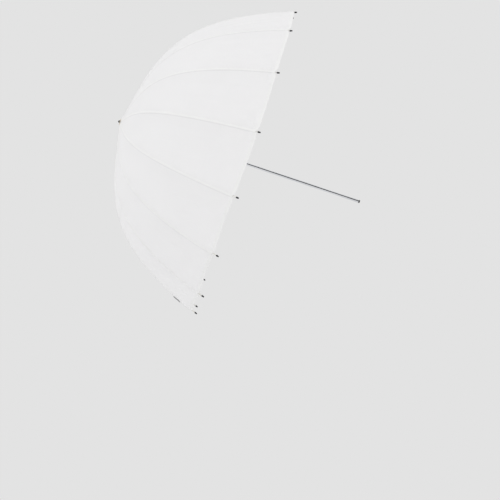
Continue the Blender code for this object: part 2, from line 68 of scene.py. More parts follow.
hinge = joints["rib_01_hinge"]["pos_m"]
prop = joints["stretcher_01_hinge"]["pos_m"]
NOTCH_X, NOTCH_R = hinge[0], math.hypot(hinge[1], hinge[2])
PROP_X, PROP_R = prop[0], math.hypot(prop[1], prop[2])
RUNNER_X = NOTCH_X + 2 * (PROP_X - NOTCH_X)
PROP_DX, PROP_DZ = PROP_X - NOTCH_X, PROP_R - NOTCH_R
STRETCHER = math.hypot(PROP_DX, PROP_DZ)
CATCH_X = RUNNER_X + 0.0435

rng = np.random.default_rng(16)
PHASE = rng.uniform(0, math.tau, (RIBS, 8))
STRENGTH = rng.uniform(0.65, 1.25, (RIBS, 4))


def smooth(low, high, value):
    t = np.clip((value - low) / (high - low), 0, 1)
    return t * t * (3 - 2 * t)


def dome(radius):
    q = radius / RIM
    return DEPTH * (CONE * q + (1 - CONE) * q**4)


def dome_slope(radius):
    q = radius / RIM
    return DEPTH * (CONE + 4 * (1 - CONE) * q**3) / RIM


_rr = np.linspace(0, RIM * 1.03, 24001)
_arc = np.concatenate(
    [[0], np.cumsum(np.hypot(np.diff(_rr), np.diff(dome(_rr))))]
)
ARC_LENGTH = float(np.interp(RIM, _rr, _arc))


def radius_at(arc):
    return np.interp(arc, _arc, _rr)


def azimuth_of(k):
    return FIRST + k * STEP


def radial(azimuth):
    return np.array([0.0, -math.sin(azimuth), math.cos(azimuth)])


def tangent(azimuth):
    return np.array([0.0, -math.cos(azimuth), -math.sin(azimuth)])


# ------------------------------------------------------------ materials
class Shader:
    """A small helper that writes a node tree as expressions."""

    def __init__(self, name):
        self.material = bpy.data.materials.new(name)
        self.material.use_nodes = True
        self.tree = self.material.node_tree
        self.tree.nodes.clear()
        self.out = self.tree.nodes.new("ShaderNodeOutputMaterial")

    def put(self, kind, settings=None, **inputs):
        node = self.tree.nodes.new("ShaderNode" + kind)
        for key, value in (settings or {}).items():
            setattr(node, key, value)
        for key, value in inputs.items():
            name = key.replace("_", " ")
            socket = (
                node.inputs[int(key[1:])] if key[0] == "i" and key[1:].isdigit()
                else node.inputs[name]
            )
            if isinstance(value, bpy.types.NodeSocket):
                self.tree.links.new(value, socket)
            else:
                socket.default_value = value
        return node

    def math(self, operation, a, b=0.0, c=0.0, clamp=False):
        return self.put(
            "Math", {"operation": operation, "use_clamp": clamp}, i0=a, i1=b, i2=c
        ).outputs[0]

    def attribute(self, name):
        node = self.put("Attribute", {"attribute_name": name})
        return node.outputs["Vector"], node.outputs["Fac"]

    def split(self, vector):
        node = self.put("SeparateXYZ", Vector=vector)
        return node.outputs[0], node.outputs[1], node.outputs[2]

    def join(self, x=0.0, y=0.0, z=0.0):
        return self.put("CombineXYZ", X=x, Y=y, Z=z).outputs[0]

    def scaled(self, vector, by):
        return self.put(
            "VectorMath", {"operation": "MULTIPLY"}, i0=vector, i1=by
        ).outputs[0]

    def noise(self, vector, scale, detail=2.0, roughness=0.5):
        return self.put(
            "TexNoise", Vector=vector, Scale=scale, Detail=detail, Roughness=roughness
        ).outputs["Fac"]

    def ramp(self, value, low, high, to_low=0.0, to_high=1.0):
        node = self.put(
            "MapRange",
            {"interpolation_type": "SMOOTHSTEP"},
            Value=value,
        )
        node.inputs["From Min"].default_value = low
        node.inputs["From Max"].default_value = high
        node.inputs["To Min"].default_value = to_low
        node.inputs["To Max"].default_value = to_high
        return node.outputs["Result"]

    def mix_colour(self, factor, a, b, blend="MIX"):
        node = self.put("Mix", {"data_type": "RGBA", "blend_type": blend})
        for index, value in ((0, factor), (6, a), (7, b)):
            socket = node.inputs[index]
            if isinstance(value, bpy.types.NodeSocket):
                self.tree.links.new(value, socket)
            elif index == 0:
                socket.default_value = value
            else:
                socket.default_value = (*value, 1.0)
        return node.outputs[2]

    def bump(self, height, distance, strength=1.0, normal=None):
        node = self.put("Bump", Height=height, Distance=distance, Strength=strength)
        if normal is not None:
            self.tree.links.new(normal, node.inputs["Normal"])
        return node.outputs["Normal"]

    def done(self, surface):
        self.tree.links.new(surface, self.out.inputs["Surface"])
        return self.material


def object_place(s):
    return s.put("TexCoord").outputs["Object"]


def nylon():
    """White translucent taffeta: weave, faint cloudiness, denser seams and hem, and a painted shade line
    beside each seam.
    """
    s = Shader("white_nylon_taffeta")
    place, _ = s.attribute("cloth")
    x, y, _ = s.split(place)
    _, seam = s.attribute("seam")
    _, hem = s.attribute("hem")
    # plain weave, threads 0.55 mm apart
    warp = s.math("SINE", s.math("MULTIPLY", x, math.tau / 0.00110))
    weft = s.math("SINE", s.math("MULTIPLY", y, math.tau / 0.00110))
    cell = s.math("MULTIPLY", warp, weft)
    over = s.math("MULTIPLY_ADD", cell, 0.5, 0.5)
    slub = s.noise(s.scaled(place, (900.0, 60.0, 1.0)), 1.0, 2.0, 0.6)
    slub2 = s.noise(s.scaled(place, (60.0, 900.0, 1.0)), 1.0, 2.0, 0.6)
    threads = s.math("ADD", over, s.math("ADD", slub, slub2))
    cloud = s.noise(place, 14.0, 3.0, 0.55)
    fine = s.noise(place, 160.0, 2.0, 0.5)
    # double cloth along the seam and the hem
    at_seam = s.ramp(s.math("ABSOLUTE", seam), 0.0029, 0.0023)
    at_hem = s.ramp(hem, 0.0086, 0.0078)
    double = s.math("MAXIMUM", at_seam, at_hem)
    # the felled seam ends in a fold on one side; the thin shade that fold casts is painted into the
    # colour as a darker band (painted shade)
    step = s.math(
        "MULTIPLY", s.ramp(seam, 0.0026, 0.0033), s.ramp(seam, 0.0052, 0.0042)
    )
    tone = s.math("MULTIPLY_ADD", cloud, 0.020, -0.010)
    tone = s.math("ADD", tone, s.math("MULTIPLY_ADD", fine, 0.012, -0.006))
    tone = s.math("ADD", tone, s.math("MULTIPLY_ADD", over, 0.010, -0.005))
    level = s.math("ADD", 0.82, tone)
    level = s.math("ADD", level, s.math("MULTIPLY", at_seam, 0.012))
    level = s.math("ADD", level, s.math("MULTIPLY", at_hem, -0.006))
    # painted shade: the seam fold's thin shade line darkens the cloth colour here
    level = s.math("SUBTRACT", level, s.math("MULTIPLY", step, 0.050))
    base = s.mix_colour(
        double, (0.997, 0.995, 1.0), (1.0, 1.0, 0.996)
    )
    colour = s.put(
        "VectorMath", {"operation": "SCALE"}, i0=base, Scale=level
    ).outputs[0]
    near = s.bump(threads, 0.00004, 0.55)
    ripple = s.noise(s.scaled(place, (1.0, 0.30, 1.0)), 46.0, 2.0, 0.5)
    normal = s.bump(ripple, 0.00035, 0.35, near)
    rough = s.math("MULTIPLY_ADD", cloud, 0.10, 0.66)
    front = s.put(
        "BsdfPrincipled",
        Base_Color=colour,
        Roughness=rough,
        Normal=normal,
    )
    front.inputs["Specular IOR Level"].default_value = 0.22
    front.inputs["Sheen Weight"].default_value = 0.12
    front.inputs["Sheen Roughness"].default_value = 0.45
    through = s.put("BsdfTranslucent", Color=colour, Normal=normal)
    share = s.math("MULTIPLY_ADD", double, -0.29, 0.33)
    share = s.math("ADD", share, s.math("MULTIPLY_ADD", over, -0.05, 0.025))
    mixed = s.put("MixShader", Fac=share, i1=front.outputs[0], i2=through.outputs[0])
    return s.done(mixed.outputs[0])


def thread():
    s = Shader("polyester_thread")
    place = object_place(s)
    twist = s.noise(place, 2600.0, 2.0)
    colour = s.mix_colour(twist, (0.72, 0.72, 0.71), (0.84, 0.84, 0.83))
    b = s.put(
        "BsdfPrincipled",
        Base_Color=colour,
        Roughness=0.6,
        Normal=s.bump(twist, 0.00010, 0.5),
    )
    b.inputs["Sheen Weight"].default_value = 0.2
    return s.done(b.outputs[0])


def fibreglass():
    """Pale pultruded rod: long fibres under a clear skin."""
    s = Shader("pale_fibreglass_rod")
    place, _ = s.attribute("rod")
    fibres = s.noise(s.scaled(place, (2200.0, 40.0, 2200.0)), 1.0, 3.0, 0.6)
    mottle = s.noise(place, 60.0, 2.0)
    colour = s.mix_colour(fibres, (0.71, 0.695, 0.645), (0.82, 0.81, 0.775))
    colour = s.mix_colour(s.math("MULTIPLY", mottle, 0.35), colour, (0.77, 0.76, 0.72))
    b = s.put(
        "BsdfPrincipled",
        Base_Color=colour,
        Roughness=s.math("MULTIPLY_ADD", fibres, 0.22, 0.30),
        Normal=s.bump(fibres, 0.00005, 0.6),
    )
    b.inputs["Coat Weight"].default_value = 0.35
    b.inputs["Coat Roughness"].default_value = 0.22
    return s.done(b.outputs[0])


def steel(name="zinc_plated_steel", tint=(0.60, 0.61, 0.63), dark=(0.47, 0.475, 0.48)):
    s = Shader(name)
    place = object_place(s)
    spots = s.noise(place, 900.0, 3.0, 0.6)
    stain = s.noise(place, 90.0, 3.0, 0.6)
    colour = s.mix_colour(s.ramp(stain, 0.35, 0.7), tint, dark)
    b = s.put(
        "BsdfPrincipled",
        Base_Color=colour,
        Metallic=1.0,
        Roughness=s.math("MULTIPLY_ADD", spots, 0.20, 0.24),
        Normal=s.bump(spots, 0.00003, 0.5),
    )
    return s.done(b.outputs[0])


def chrome():
    """Polished tube with fine lengthwise rub marks from the runner."""
    s = Shader("polished_shaft_plating")
    place = object_place(s)
    marks = s.noise(s.scaled(place, (14.0, 2600.0, 2600.0)), 1.0, 3.0, 0.65)
    smear = s.noise(s.scaled(place, (18.0, 120.0, 120.0)), 1.0, 2.0)
    colour = s.mix_colour(
        s.ramp(smear, 0.35, 0.75), (0.66, 0.67, 0.69), (0.58, 0.59, 0.61)
    )
    rough = s.math(
        "ADD", s.math("MULTIPLY", s.ramp(marks, 0.55, 0.8), 0.16),
        s.math("MULTIPLY_ADD", smear, 0.10, 0.07),
    )
    b = s.put(
        "BsdfPrincipled",
        Base_Color=colour,
        Metallic=1.0,
        Roughness=rough,
        Normal=s.bump(marks, 0.00001, 0.5),
    )
    return s.done(b.outputs[0])


def dark_metal():
    """Blackened metal, rubbed through on its edges."""
    s = Shader("blackened_metal")
    place = object_place(s)
    grain = s.noise(place, 1500.0, 3.0, 0.6)
    edge = s.put("NewGeometry").outputs["Pointiness"]
    worn = s.math(
        "MULTIPLY", s.ramp(edge, 0.53, 0.62), s.ramp(grain, 0.40, 0.62)
    )
    colour = s.mix_colour(worn, (0.022, 0.022, 0.025), (0.25, 0.24, 0.23))
    b = s.put(
        "BsdfPrincipled",
        Base_Color=colour,
        Metallic=0.6,
        Roughness=s.math("MULTIPLY_ADD", grain, 0.20, 0.28),
        Normal=s.bump(grain, 0.00004, 0.5),
    )
    return s.done(b.outputs[0])


def brass():
    s = Shader("dull_brass")
    place = object_place(s)
    grain = s.noise(s.scaled(place, (2000.0, 500.0, 500.0)), 1.0, 3.0, 0.6)
    stain = s.noise(place, 320.0, 3.0, 0.6)
    colour = s.mix_colour(s.ramp(stain, 0.4, 0.7), (0.78, 0.72, 0.60), (0.60, 0.53, 0.41))
    b = s.put(
        "BsdfPrincipled",
        Base_Color=colour,
        Metallic=0.45,
        Roughness=s.math("MULTIPLY_ADD", grain, 0.22, 0.38),
        Normal=s.bump(grain, 0.00003, 0.6),
    )
    return s.done(b.outputs[0])


def plastic(name="black_moulded_plastic", base=(0.020, 0.020, 0.022), worn=(0.09, 0.09, 0.095)):
    """Moulded plastic: fine eroded grain, paler on rubbed edges."""
    s = Shader(name)
    place = object_place(s)
    grain = s.noise(place, 2400.0, 3.0, 0.6)
    haze = s.noise(place, 120.0, 3.0, 0.55)
    edge = s.put("NewGeometry").outputs["Pointiness"]
    rub = s.math("MULTIPLY", s.ramp(edge, 0.52, 0.60), s.ramp(haze, 0.35, 0.65))
    colour = s.mix_colour(rub, base, worn)
    b = s.put(
        "BsdfPrincipled",
        Base_Color=colour,
        Roughness=s.math("MULTIPLY_ADD", haze, 0.20, 0.34),
        Normal=s.bump(grain, 0.00006, 0.6),
    )
    return s.done(b.outputs[0])


def webbing():
    """Narrow woven band: herringbone ribs 1.6 mm wide."""
    s = Shader("grey_webbing")
    place, _ = s.attribute("cloth")
    x, y, _ = s.split(place)
    rib = s.math("ABSOLUTE", s.math("SINE", s.math("MULTIPLY", y, math.pi / 0.0016)))
    lean = s.math("MULTIPLY", s.math("SINE", s.math("MULTIPLY", y, math.pi / 0.0016)), 9.0)
    pick = s.math(
        "SINE",
        s.math("ADD", s.math("MULTIPLY", x, math.tau / 0.0011), lean),
    )
    height = s.math("MULTIPLY", s.math("MULTIPLY_ADD", pick, 0.25, 0.75), rib)
    fuzz = s.noise(place, 1800.0, 2.0)
    height = s.math("ADD", height, s.math("MULTIPLY", fuzz, 0.25))
    colour = s.mix_colour(height, (0.36, 0.36, 0.37), (0.62, 0.62, 0.63))
    b = s.put(
        "BsdfPrincipled",
        Base_Color=colour,
        Roughness=0.82,
        Normal=s.bump(height, 0.00025, 0.8),
    )
    b.inputs["Sheen Weight"].default_value = 0.35
    return s.done(b.outputs[0])


NYLON = nylon()
THREAD = thread()
FIBREGLASS = fibreglass()
STEEL = steel()
WIRE = steel("spring_steel_wire", (0.66, 0.66, 0.66), (0.50, 0.49, 0.47))
CHROME = chrome()
DARK = dark_metal()
BRASS = brass()
BLACK = plastic()
WEBBING = webbing()


# ------------------------------------------------------------ mesh helpers
class Shape:
    """Collects vertices and faces of one piece."""

    def __init__(self):
        self.verts, self.faces, self.index = [], [], []
        self.flat = []
        self.count = 0
        self.fields = {}
        self.normals = []

    def add(self, verts, faces, material=0, flat=False, normals=None, **fields):
        verts = np.asarray(verts, float).reshape(-1, 3)
        start = self.count
        self.verts.append(verts)
        self.normals.append(
            np.zeros_like(verts) if normals is None else np.asarray(normals, float)
        )
        for name, values in fields.items():
            self.fields.setdefault(name, []).append((start, np.asarray(values, float)))
        for face in faces:
            self.faces.append([start + int(i) for i in face])
            self.index.append(material)
            self.flat.append(flat)
        self.count += len(verts)
        return start

    def mesh(self, name, materials, sharp=None):
        mesh = bpy.data.meshes.new(name)
        verts = np.concatenate(self.verts)
        mesh.from_pydata(verts.tolist(), [], self.faces)
        for made in materials:
            mesh.materials.append(made)
        mesh.polygons.foreach_set("material_index", self.index)
        mesh.polygons.foreach_set("use_smooth", [not f for f in self.flat])
        for field, chunks in self.fields.items():
            width = 1 if chunks[0][1].ndim == 1 else 3
            values = np.zeros((self.count, width))
            for start, chunk in chunks:
                chunk = chunk.reshape(-1, width)
                values[start:start + len(chunk)] = chunk
            kind = "FLOAT" if width == 1 else "FLOAT_VECTOR"
            attribute = mesh.attributes.new(field, kind, "POINT")
            attribute.data.foreach_set(
                "value" if width == 1 else "vector", values.astype(np.float32).ravel()
            )
        mesh.update()
        if sharp is not None:
            mesh.set_sharp_from_angle(angle=math.radians(sharp))
        normals = np.concatenate(self.normals)
        if np.abs(normals).sum() > 0:
            mesh.normals_split_custom_set_from_vertices(normals.tolist())
        mesh.validate()
        return mesh


def grid_faces(rows, cols, wrap=False, flip=False):
    i, j = np.meshgrid(
        np.arange(rows - 1), np.arange(cols if wrap else cols - 1), indexing="ij"
    )
    a = i * cols + j
    b = i * cols + (j + 1) % cols
    faces = np.stack([a, b, b + cols, a + cols], -1).reshape(-1, 4)
    return faces[:, ::-1] if flip else faces


def lathe(profile, sides=64, closed=False):
    """Rings about X from (x, radius); closed joins the last ring to the first."""
    profile = np.asarray(profile, float)
    angle = np.arange(sides) * math.tau / sides
    verts = np.stack(
        [
            np.repeat(profile[:, 0], sides),
            (profile[:, 1][:, None] * np.cos(angle)).ravel(),
            (profile[:, 1][:, None] * np.sin(angle)).ravel(),
        ],
        -1,
    )
    faces = [list(f) for f in grid_faces(len(profile), sides, wrap=True)]
    last = (len(profile) - 1) * sides
    if closed:
        for j in range(sides):
            k = (j + 1) % sides
            faces.append([last + j, last + k, k, j])
    else:
        if profile[0, 1] > 1e-7:
            faces.append(list(range(sides))[::-1])
        if profile[-1, 1] > 1e-7:
            faces.append([last + j for j in range(sides)])
    return verts, faces


def rounded(profile, radius, steps=4, closed=False):
    """The profile with each inner corner turned into a small arc."""
    points = [np.array(p, float) for p in profile]
    count = len(points)
    out = []
    for i, point in enumerate(points):
        if not closed and i in (0, count - 1):
            out.append(point)
            continue
        before, after = points[i - 1], points[(i + 1) % count]
        a, b = before - point, after - point
        la, lb = np.linalg.norm(a), np.linalg.norm(b)
        cut = min(radius, la * 0.45, lb * 0.45)
        start, end = point + a / la * cut, point + b / lb * cut
        for t in np.linspace(0, 1, steps):
            out.append((1 - t) ** 2 * start + 2 * t * (1 - t) * point + t * t * end)
    return out


def sweep(path, half_in, half_side, sides=14, power=2.0, side_axis=(0, 1, 0)):
    """A bar along a path in the X-Z plane with an oval section that may change:
    half_in lies in the plane, half_side across it. Ends are closed with flat caps."""
    path = np.asarray(path, float)
    count = len(path)
    half_in = np.broadcast_to(half_in, count)
    half_side = np.broadcast_to(half_side, count)
    along = np.gradient(path, axis=0)
    along /= np.linalg.norm(along, axis=1)[:, None]
    side = np.array(side_axis, float)
    up = np.cross(along, side)
    angle = np.arange(sides) * math.tau / sides
    c, s = np.cos(angle), np.sin(angle)
    c = np.sign(c) * np.abs(c) ** (2 / power)
    s = np.sign(s) * np.abs(s) ** (2 / power)
    verts = (
        path[:, None, :]
        + up[:, None, :] * (half_in[:, None] * c)[:, :, None]
        + side * (half_side[:, None] * s)[:, :, None]
    ).reshape(-1, 3)
    faces = [list(f) for f in grid_faces(count, sides, wrap=True)]
    faces.append(list(range(sides))[::-1])
    faces.append([(count - 1) * sides + j for j in range(sides)])
    run = np.concatenate([[0], np.cumsum(np.linalg.norm(np.diff(path, axis=0), axis=1))])
    rod = np.stack(
        [np.tile(c, count) * 0.0015, np.repeat(run, sides), np.tile(s, count) * 0.0015],
        -1,
    )
    return verts, faces, rod


def tube_path(points, radius, sides=8, closed=False):
    """A thin round thread or wire along any 3-D points."""
    points = np.asarray(points, float)
    count = len(points)
    if closed:
        along = np.roll(points, -1, 0) - np.roll(points, 1, 0)
    else:
        along = np.gradient(points, axis=0)
    along /= np.linalg.norm(along, axis=1)[:, None]
    up = np.zeros_like(points)
    last = np.array([0.31, 0.77, 0.55])
    for i in range(count):
        v = last - along[i] * (last @ along[i])
        up[i] = v / np.linalg.norm(v)
        last = up[i]
    side = np.cross(along, up)
    angle = np.arange(sides) * math.tau / sides
    verts = (
        points[:, None]
        + radius * (np.cos(angle)[None, :, None] * up[:, None]
                    + np.sin(angle)[None, :, None] * side[:, None])
    ).reshape(-1, 3)
    faces = [list(f) for f in grid_faces(count, sides, wrap=True)]
    if closed:
        last = (count - 1) * sides
        # the frame may come round turned, so match the nearest start
        first = verts[:sides]
        shift = int(np.argmin(np.linalg.norm(first - verts[last], axis=1)))
        for j in range(sides):
            k = (j + 1) % sides
            faces.append([last + j, last + k, (k + shift) % sides, (j + shift) % sides])
    else:
        faces.append(list(range(sides))[::-1])
        faces.append([(count - 1) * sides + j for j in range(sides)])
    return verts, faces


def plate(outline, thickness, chamfer=0.0002, plane=None):
    """A flat plate with chamfered edges in the local X-Z plane."""
    points = np.asarray(outline, float)
    area = 0.5 * np.sum(
        points[:, 0] * np.roll(points[:, 1], -1) - points[:, 1] * np.roll(points[:, 0], -1)
    )
    if area < 0:
        points = points[::-1]
    edge = np.roll(points, -1, 0) - points
    edge /= np.maximum(np.linalg.norm(edge, axis=1), 1e-12)[:, None]
    out = np.stack([edge[:, 1], -edge[:, 0]], -1)
    corner = out + np.roll(out, 1, 0)
    corner /= np.maximum(np.linalg.norm(corner, axis=1), 1e-9)[:, None]
    inner = points - corner * chamfer
    half = thickness / 2
    rings = [
        (inner, -half), (points, -half + chamfer), (points, half - chamfer), (inner, half)
    ]
    verts = np.concatenate(
        [np.stack([ring[:, 0], np.full(len(ring), y), ring[:, 1]], -1) for ring, y in rings]
    )
    count = len(points)
    faces = [list(f) for f in grid_faces(4, count, wrap=True)]
    faces.append(list(range(count))[::-1])
    faces.append([3 * count + j for j in range(count)])
    return verts, faces


def arc(centre, radius, start, end, count):
    angle = np.radians(np.linspace(start, end, count))
    return [
        (centre[0] + radius * math.cos(t), centre[1] + radius * math.sin(t))
        for t in angle
    ]


def washer_ring(inner, outer, thickness, centre, chamfer=0.0002, sides=32):
    """A ring about the local Y axis."""
    half = thickness / 2
    section = [
        (inner, -half + chamfer), (inner + chamfer, -half), (outer - chamfer, -half),
        (outer, -half + chamfer), (outer, half - chamfer), (outer - chamfer, half),
        (inner + chamfer, half), (inner, half - chamfer),
    ]
    angle = np.arange(sides) * math.tau / sides
    verts = []
    for r, y in section:
        for t in angle:
            verts.append((centre[0] + r * math.cos(t), y, centre[1] + r * math.sin(t)))
    faces = []
    count = len(section)
    for i in range(count):
        a, b = i * sides, ((i + 1) % count) * sides
        for j in range(sides):
            k = (j + 1) % sides
            faces.append([a + j, b + j, b + k, a + k])
    return np.array(verts), faces


def laid(verts, direction, at=(0.0, 0.0)):
    """Local (along, side, across) laid out along a direction (x, z)."""
    dx, dz = direction
    v = np.asarray(verts, float)
    return np.stack(
        [at[0] + v[:, 0] * dx - v[:, 2] * dz, v[:, 1], at[1] + v[:, 0] * dz + v[:, 2] * dx],
        -1,
    )


def fix_normals(mesh):
    bm = bmesh.new()
    bm.from_mesh(mesh)
    bmesh.ops.recalc_face_normals(bm, faces=bm.faces)
    bm.to_mesh(mesh)
    bm.free()
    return mesh


def place(name, mesh, body, nodes, slot, location=None, turn=0.0):
    obj = bpy.data.objects.new(name, mesh)
    bpy.context.scene.collection.objects.link(obj)
    if location is not None:
        obj.location = location
        obj.rotation_euler = (turn, 0, 0)
    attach(obj, body)
    if nodes:
        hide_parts(*nodes)
    return obj


# ------------------------------------------------------------ rib geometry
def rod_point(radius, drop=0.0):
    slope = dome_slope(radius)
    length = math.hypot(1, slope)
    q = min(max((radius / RIM - 0.78) / 0.22, 0.0), 1.0)
    off = 0.0042 + (0.0030 - 0.0042) * q * q * (3 - 2 * q) + drop
    return dome(radius) + off / length, radius - off * slope / length


def rib_line(points=64):
    line = []
    for i in range(points):
        share = 1 - (1 - i / (points - 1)) ** 1.2
        line.append(rod_point(float(radius_at(0.004 + (ARC_LENGTH - 0.004) * share))))
    lift = NOTCH_X + REACH - line[0][0]
    shift = NOTCH_R - line[0][1]
    return [
        (
            d + lift * math.exp(-(r - line[0][1]) / 0.030) - REACH - NOTCH_X,
            r + shift * math.exp(-(r - line[0][1]) / 0.030) - NOTCH_R,
        )
        for d, r in line
    ]


RIB_LINE = np.array(rib_line())
RIB_RUN = np.concatenate(
    [[0], np.cumsum(np.linalg.norm(np.diff(RIB_LINE, axis=0), axis=1))]
)


def rib_at(run):
    return np.array(
        [np.interp(run, RIB_RUN, RIB_LINE[:, 0]), np.interp(run, RIB_RUN, RIB_LINE[:, 1])]
    )


def rib_direction(run):
    d = rib_at(run + 0.0005) - rib_at(run - 0.0005)
    return d / np.linalg.norm(d)


def make_rib():
    shape = Shape()
    first = RIB_LINE[1] - RIB_LINE[0]
    first = first / np.linalg.norm(first)
    # rod, pressed flat towards the eye
    runs = np.concatenate(
        [np.linspace(0.0015, 0.016, 14), np.linspace(0.020, RIB_RUN[-1], 60)]
    )
    centre = np.array([rib_at(r) for r in runs])
    flat = smooth(0.0145, 0.0060, runs)
    half_in = 0.0015 + flat * 0.0002
    half_side = 0.0015 - flat * 0.0007
    neck = smooth(0.0060, 0.0020, runs)
    half_in = half_in - neck * 0.0006
    path = np.stack([centre[:, 0], np.zeros(len(runs)), centre[:, 1]], -1)
    verts, faces, rod = sweep(path, half_in, half_side, 16, 2.3)
    shape.add(verts, faces, 0, rod=rod)
    # metal end sleeve with the eye
    runs = np.linspace(0.0016, 0.0125, 12)
    centre = np.array([rib_at(r) for r in runs])
    path = np.stack([centre[:, 0], np.zeros(len(runs)), centre[:, 1]], -1)
    flat = smooth(0.0100, 0.0055, runs)
    neck = smooth(0.0050, 0.0020, runs)
    verts, faces, rod = sweep(
        path, 0.00178 - neck * 0.00055, 0.00178 - flat * 0.00096, 18, 2.6
    )
    shape.add(verts, faces, 1, rod=rod)
    verts, faces = washer_ring(0.00080, 0.00210, 0.0016, (0, 0), 0.00022, 32)
    shape.add(verts, faces, 1)
    # crimped saddle with its two ears
    seat_run = float(
        RIB_RUN[np.argmin(np.linalg.norm(RIB_LINE - [PROP_DX, PROP_DZ], axis=1))]
    )
    spots = np.linspace(seat_run - 0.01, seat_run + 0.01, 201)
    gaps = [np.linalg.norm(rib_at(r) - [PROP_DX, PROP_DZ]) for r in spots]
    seat_run = float(spots[int(np.argmin(gaps))])
    seat = rib_at(seat_run)
    across = np.array([PROP_DX, PROP_DZ]) - seat
    reach = float(np.linalg.norm(across))
    across = across / reach
    along = rib_direction(seat_run)
    for sign, centre_run in ((1, seat_run),):
        runs = np.linspace(centre_run - 0.0055, centre_run + 0.0055, 19)
        pts = np.array([rib_at(r) for r in runs])
        path = np.stack([pts[:, 0], np.zeros(len(runs)), pts[:, 1]], -1)
        # two rolled crimps and slightly flared mouths
        t = (runs - centre_run) / 0.0055
        swell = 0.00205 - 0.00022 * np.exp(-(((np.abs(t) - 0.55) / 0.16) ** 2))
        swell = swell + 0.00014 * smooth(0.86, 1.0, np.abs(t))
        verts, faces, rod = sweep(path, swell, swell, 20, 2.2)
        shape.add(verts, faces, 1, rod=rod)
    ear = [(-0.0034, 0.0004), (-0.0033, 0.0014), (-0.0023, reach - 0.0014)]
    ear += arc((0, reach), 0.0021, 168, 12, 13)
    ear += [(0.0023, reach - 0.0014), (0.0033, 0.0014), (0.0034, 0.0004)]
    for side in (-1, 1):
        verts, faces = plate(ear, 0.0008, 0.00018)
        v = np.asarray(verts)
        y = v[:, 1] + side * 0.0015
        out = np.stack(
            [
                seat[0] + v[:, 0] * along[0] + v[:, 2] * across[0],
                y,
                seat[1] + v[:, 0] * along[1] + v[:, 2] * across[1],
            ],
            -1,
        )
        shape.add(out, faces, 1, flat=False)
    # rivet with domed heads
    head = [
        (-0.00250, 0.0), (-0.00246, 0.0005), (-0.00232, 0.00095), (-0.00208, 0.00128),
        (-0.00192, 0.00135), (-0.00190, 0.0008), (0.00190, 0.0008), (0.00192, 0.00135),
        (0.00208, 0.00128), (0.00232, 0.00095), (0.00246, 0.0005), (0.00250, 0.0),
    ]
    verts, faces = lathe(head, 24)
    turned = np.stack([verts[:, 1] + PROP_DX, verts[:, 0], verts[:, 2] + PROP_DZ], -1)
    shape.add(turned, faces, 1)
    # threads that tie the seam to the rod
    for tie in (0.16, 0.30, 0.43, 0.52):
        if abs(tie - seat_run) < 0.012:
            continue
        centre = rib_at(tie)
        d = rib_direction(tie)
        n = np.array([-d[1], d[0]])
        if n[1] < 0:
            n = -n
        for turn_at in (-0.0011, -0.0003, 0.0005, 0.0013):
            loop = []
            for a in np.linspace(0, math.tau, 22, endpoint=False):
                top = max(0.0, math.cos(a))
                out = 0.00168 + top**3 * 0.00105
                px = centre[0] + d[0] * (turn_at + 0.0005 * math.sin(a)) + n[0] * out * math.cos(a)
                pz = centre[1] + d[1] * (turn_at + 0.0005 * math.sin(a)) + n[1] * out * math.cos(a)
                loop.append((px, 0.00168 * math.sin(a), pz))
            verts, faces = tube_path(loop, 0.00017, 6, closed=True)
            shape.add(verts, faces, 2)
    mesh = shape.mesh("rib_with_fittings", [FIBREGLASS, STEEL, THREAD], 42)
    return fix_normals(mesh)


def make_stretcher():
    """About its prop pivot, in the open position, pointing to the runner."""
    shape = Shape()
    direction = np.array([PROP_DX, -PROP_DZ]) / STRETCHER
    length = STRETCHER
    runs = np.concatenate(
        [
            np.linspace(0.0020, 0.0150, 15),
            np.linspace(0.022, length - 0.022, 24),
            np.linspace(length - 0.0150, length - 0.0046, 12),
        ]
    )
    flat = np.maximum(smooth(0.0125, 0.0065, runs), smooth(length - 0.0125, length - 0.0070, runs))
    neck = smooth(0.0045, 0.0020, runs)
    half_in = 0.00125 + flat * 0.00030 - neck * 0.00055
    half_side = 0.00125 - flat * 0.00045
    path = np.stack([direction[0] * runs, np.zeros(len(runs)), direction[1] * runs], -1)
    verts, faces, rod = sweep(path, half_in, half_side, 16, 2.3)
    shape.add(verts, faces, 0, rod=rod)
    verts, faces = washer_ring(0.00100, 0.0020, 0.0016, (0, 0), 0.0002, 32)
    shape.add(verts, faces, 0)
    hook = arc((0, 0), 0.00210, 125, 262, 17)
    hook += [(0.0030, -0.00205), (0.0050, -0.0017), (0.0075, -0.0012), (0.0100, -0.0011)]
    hook += [(0.0100, 0.0011), (0.0080, 0.0011), (0.0060, 0.0010), (0.0040, 0.0004), (0.0022, -0.0003)]
    hook += arc((0, 0), 0.00078, -40, -235, 19)
    verts, faces = plate(hook, 0.0016, 0.00018)
    at = direction * length
    verts = laid(verts, (-direction[0], -direction[1]), (at[0], at[1]))
    shape.add(verts, faces, 0)
    mesh = shape.mesh("stretcher_bar", [STEEL], 42)
    return fix_normals(mesh)


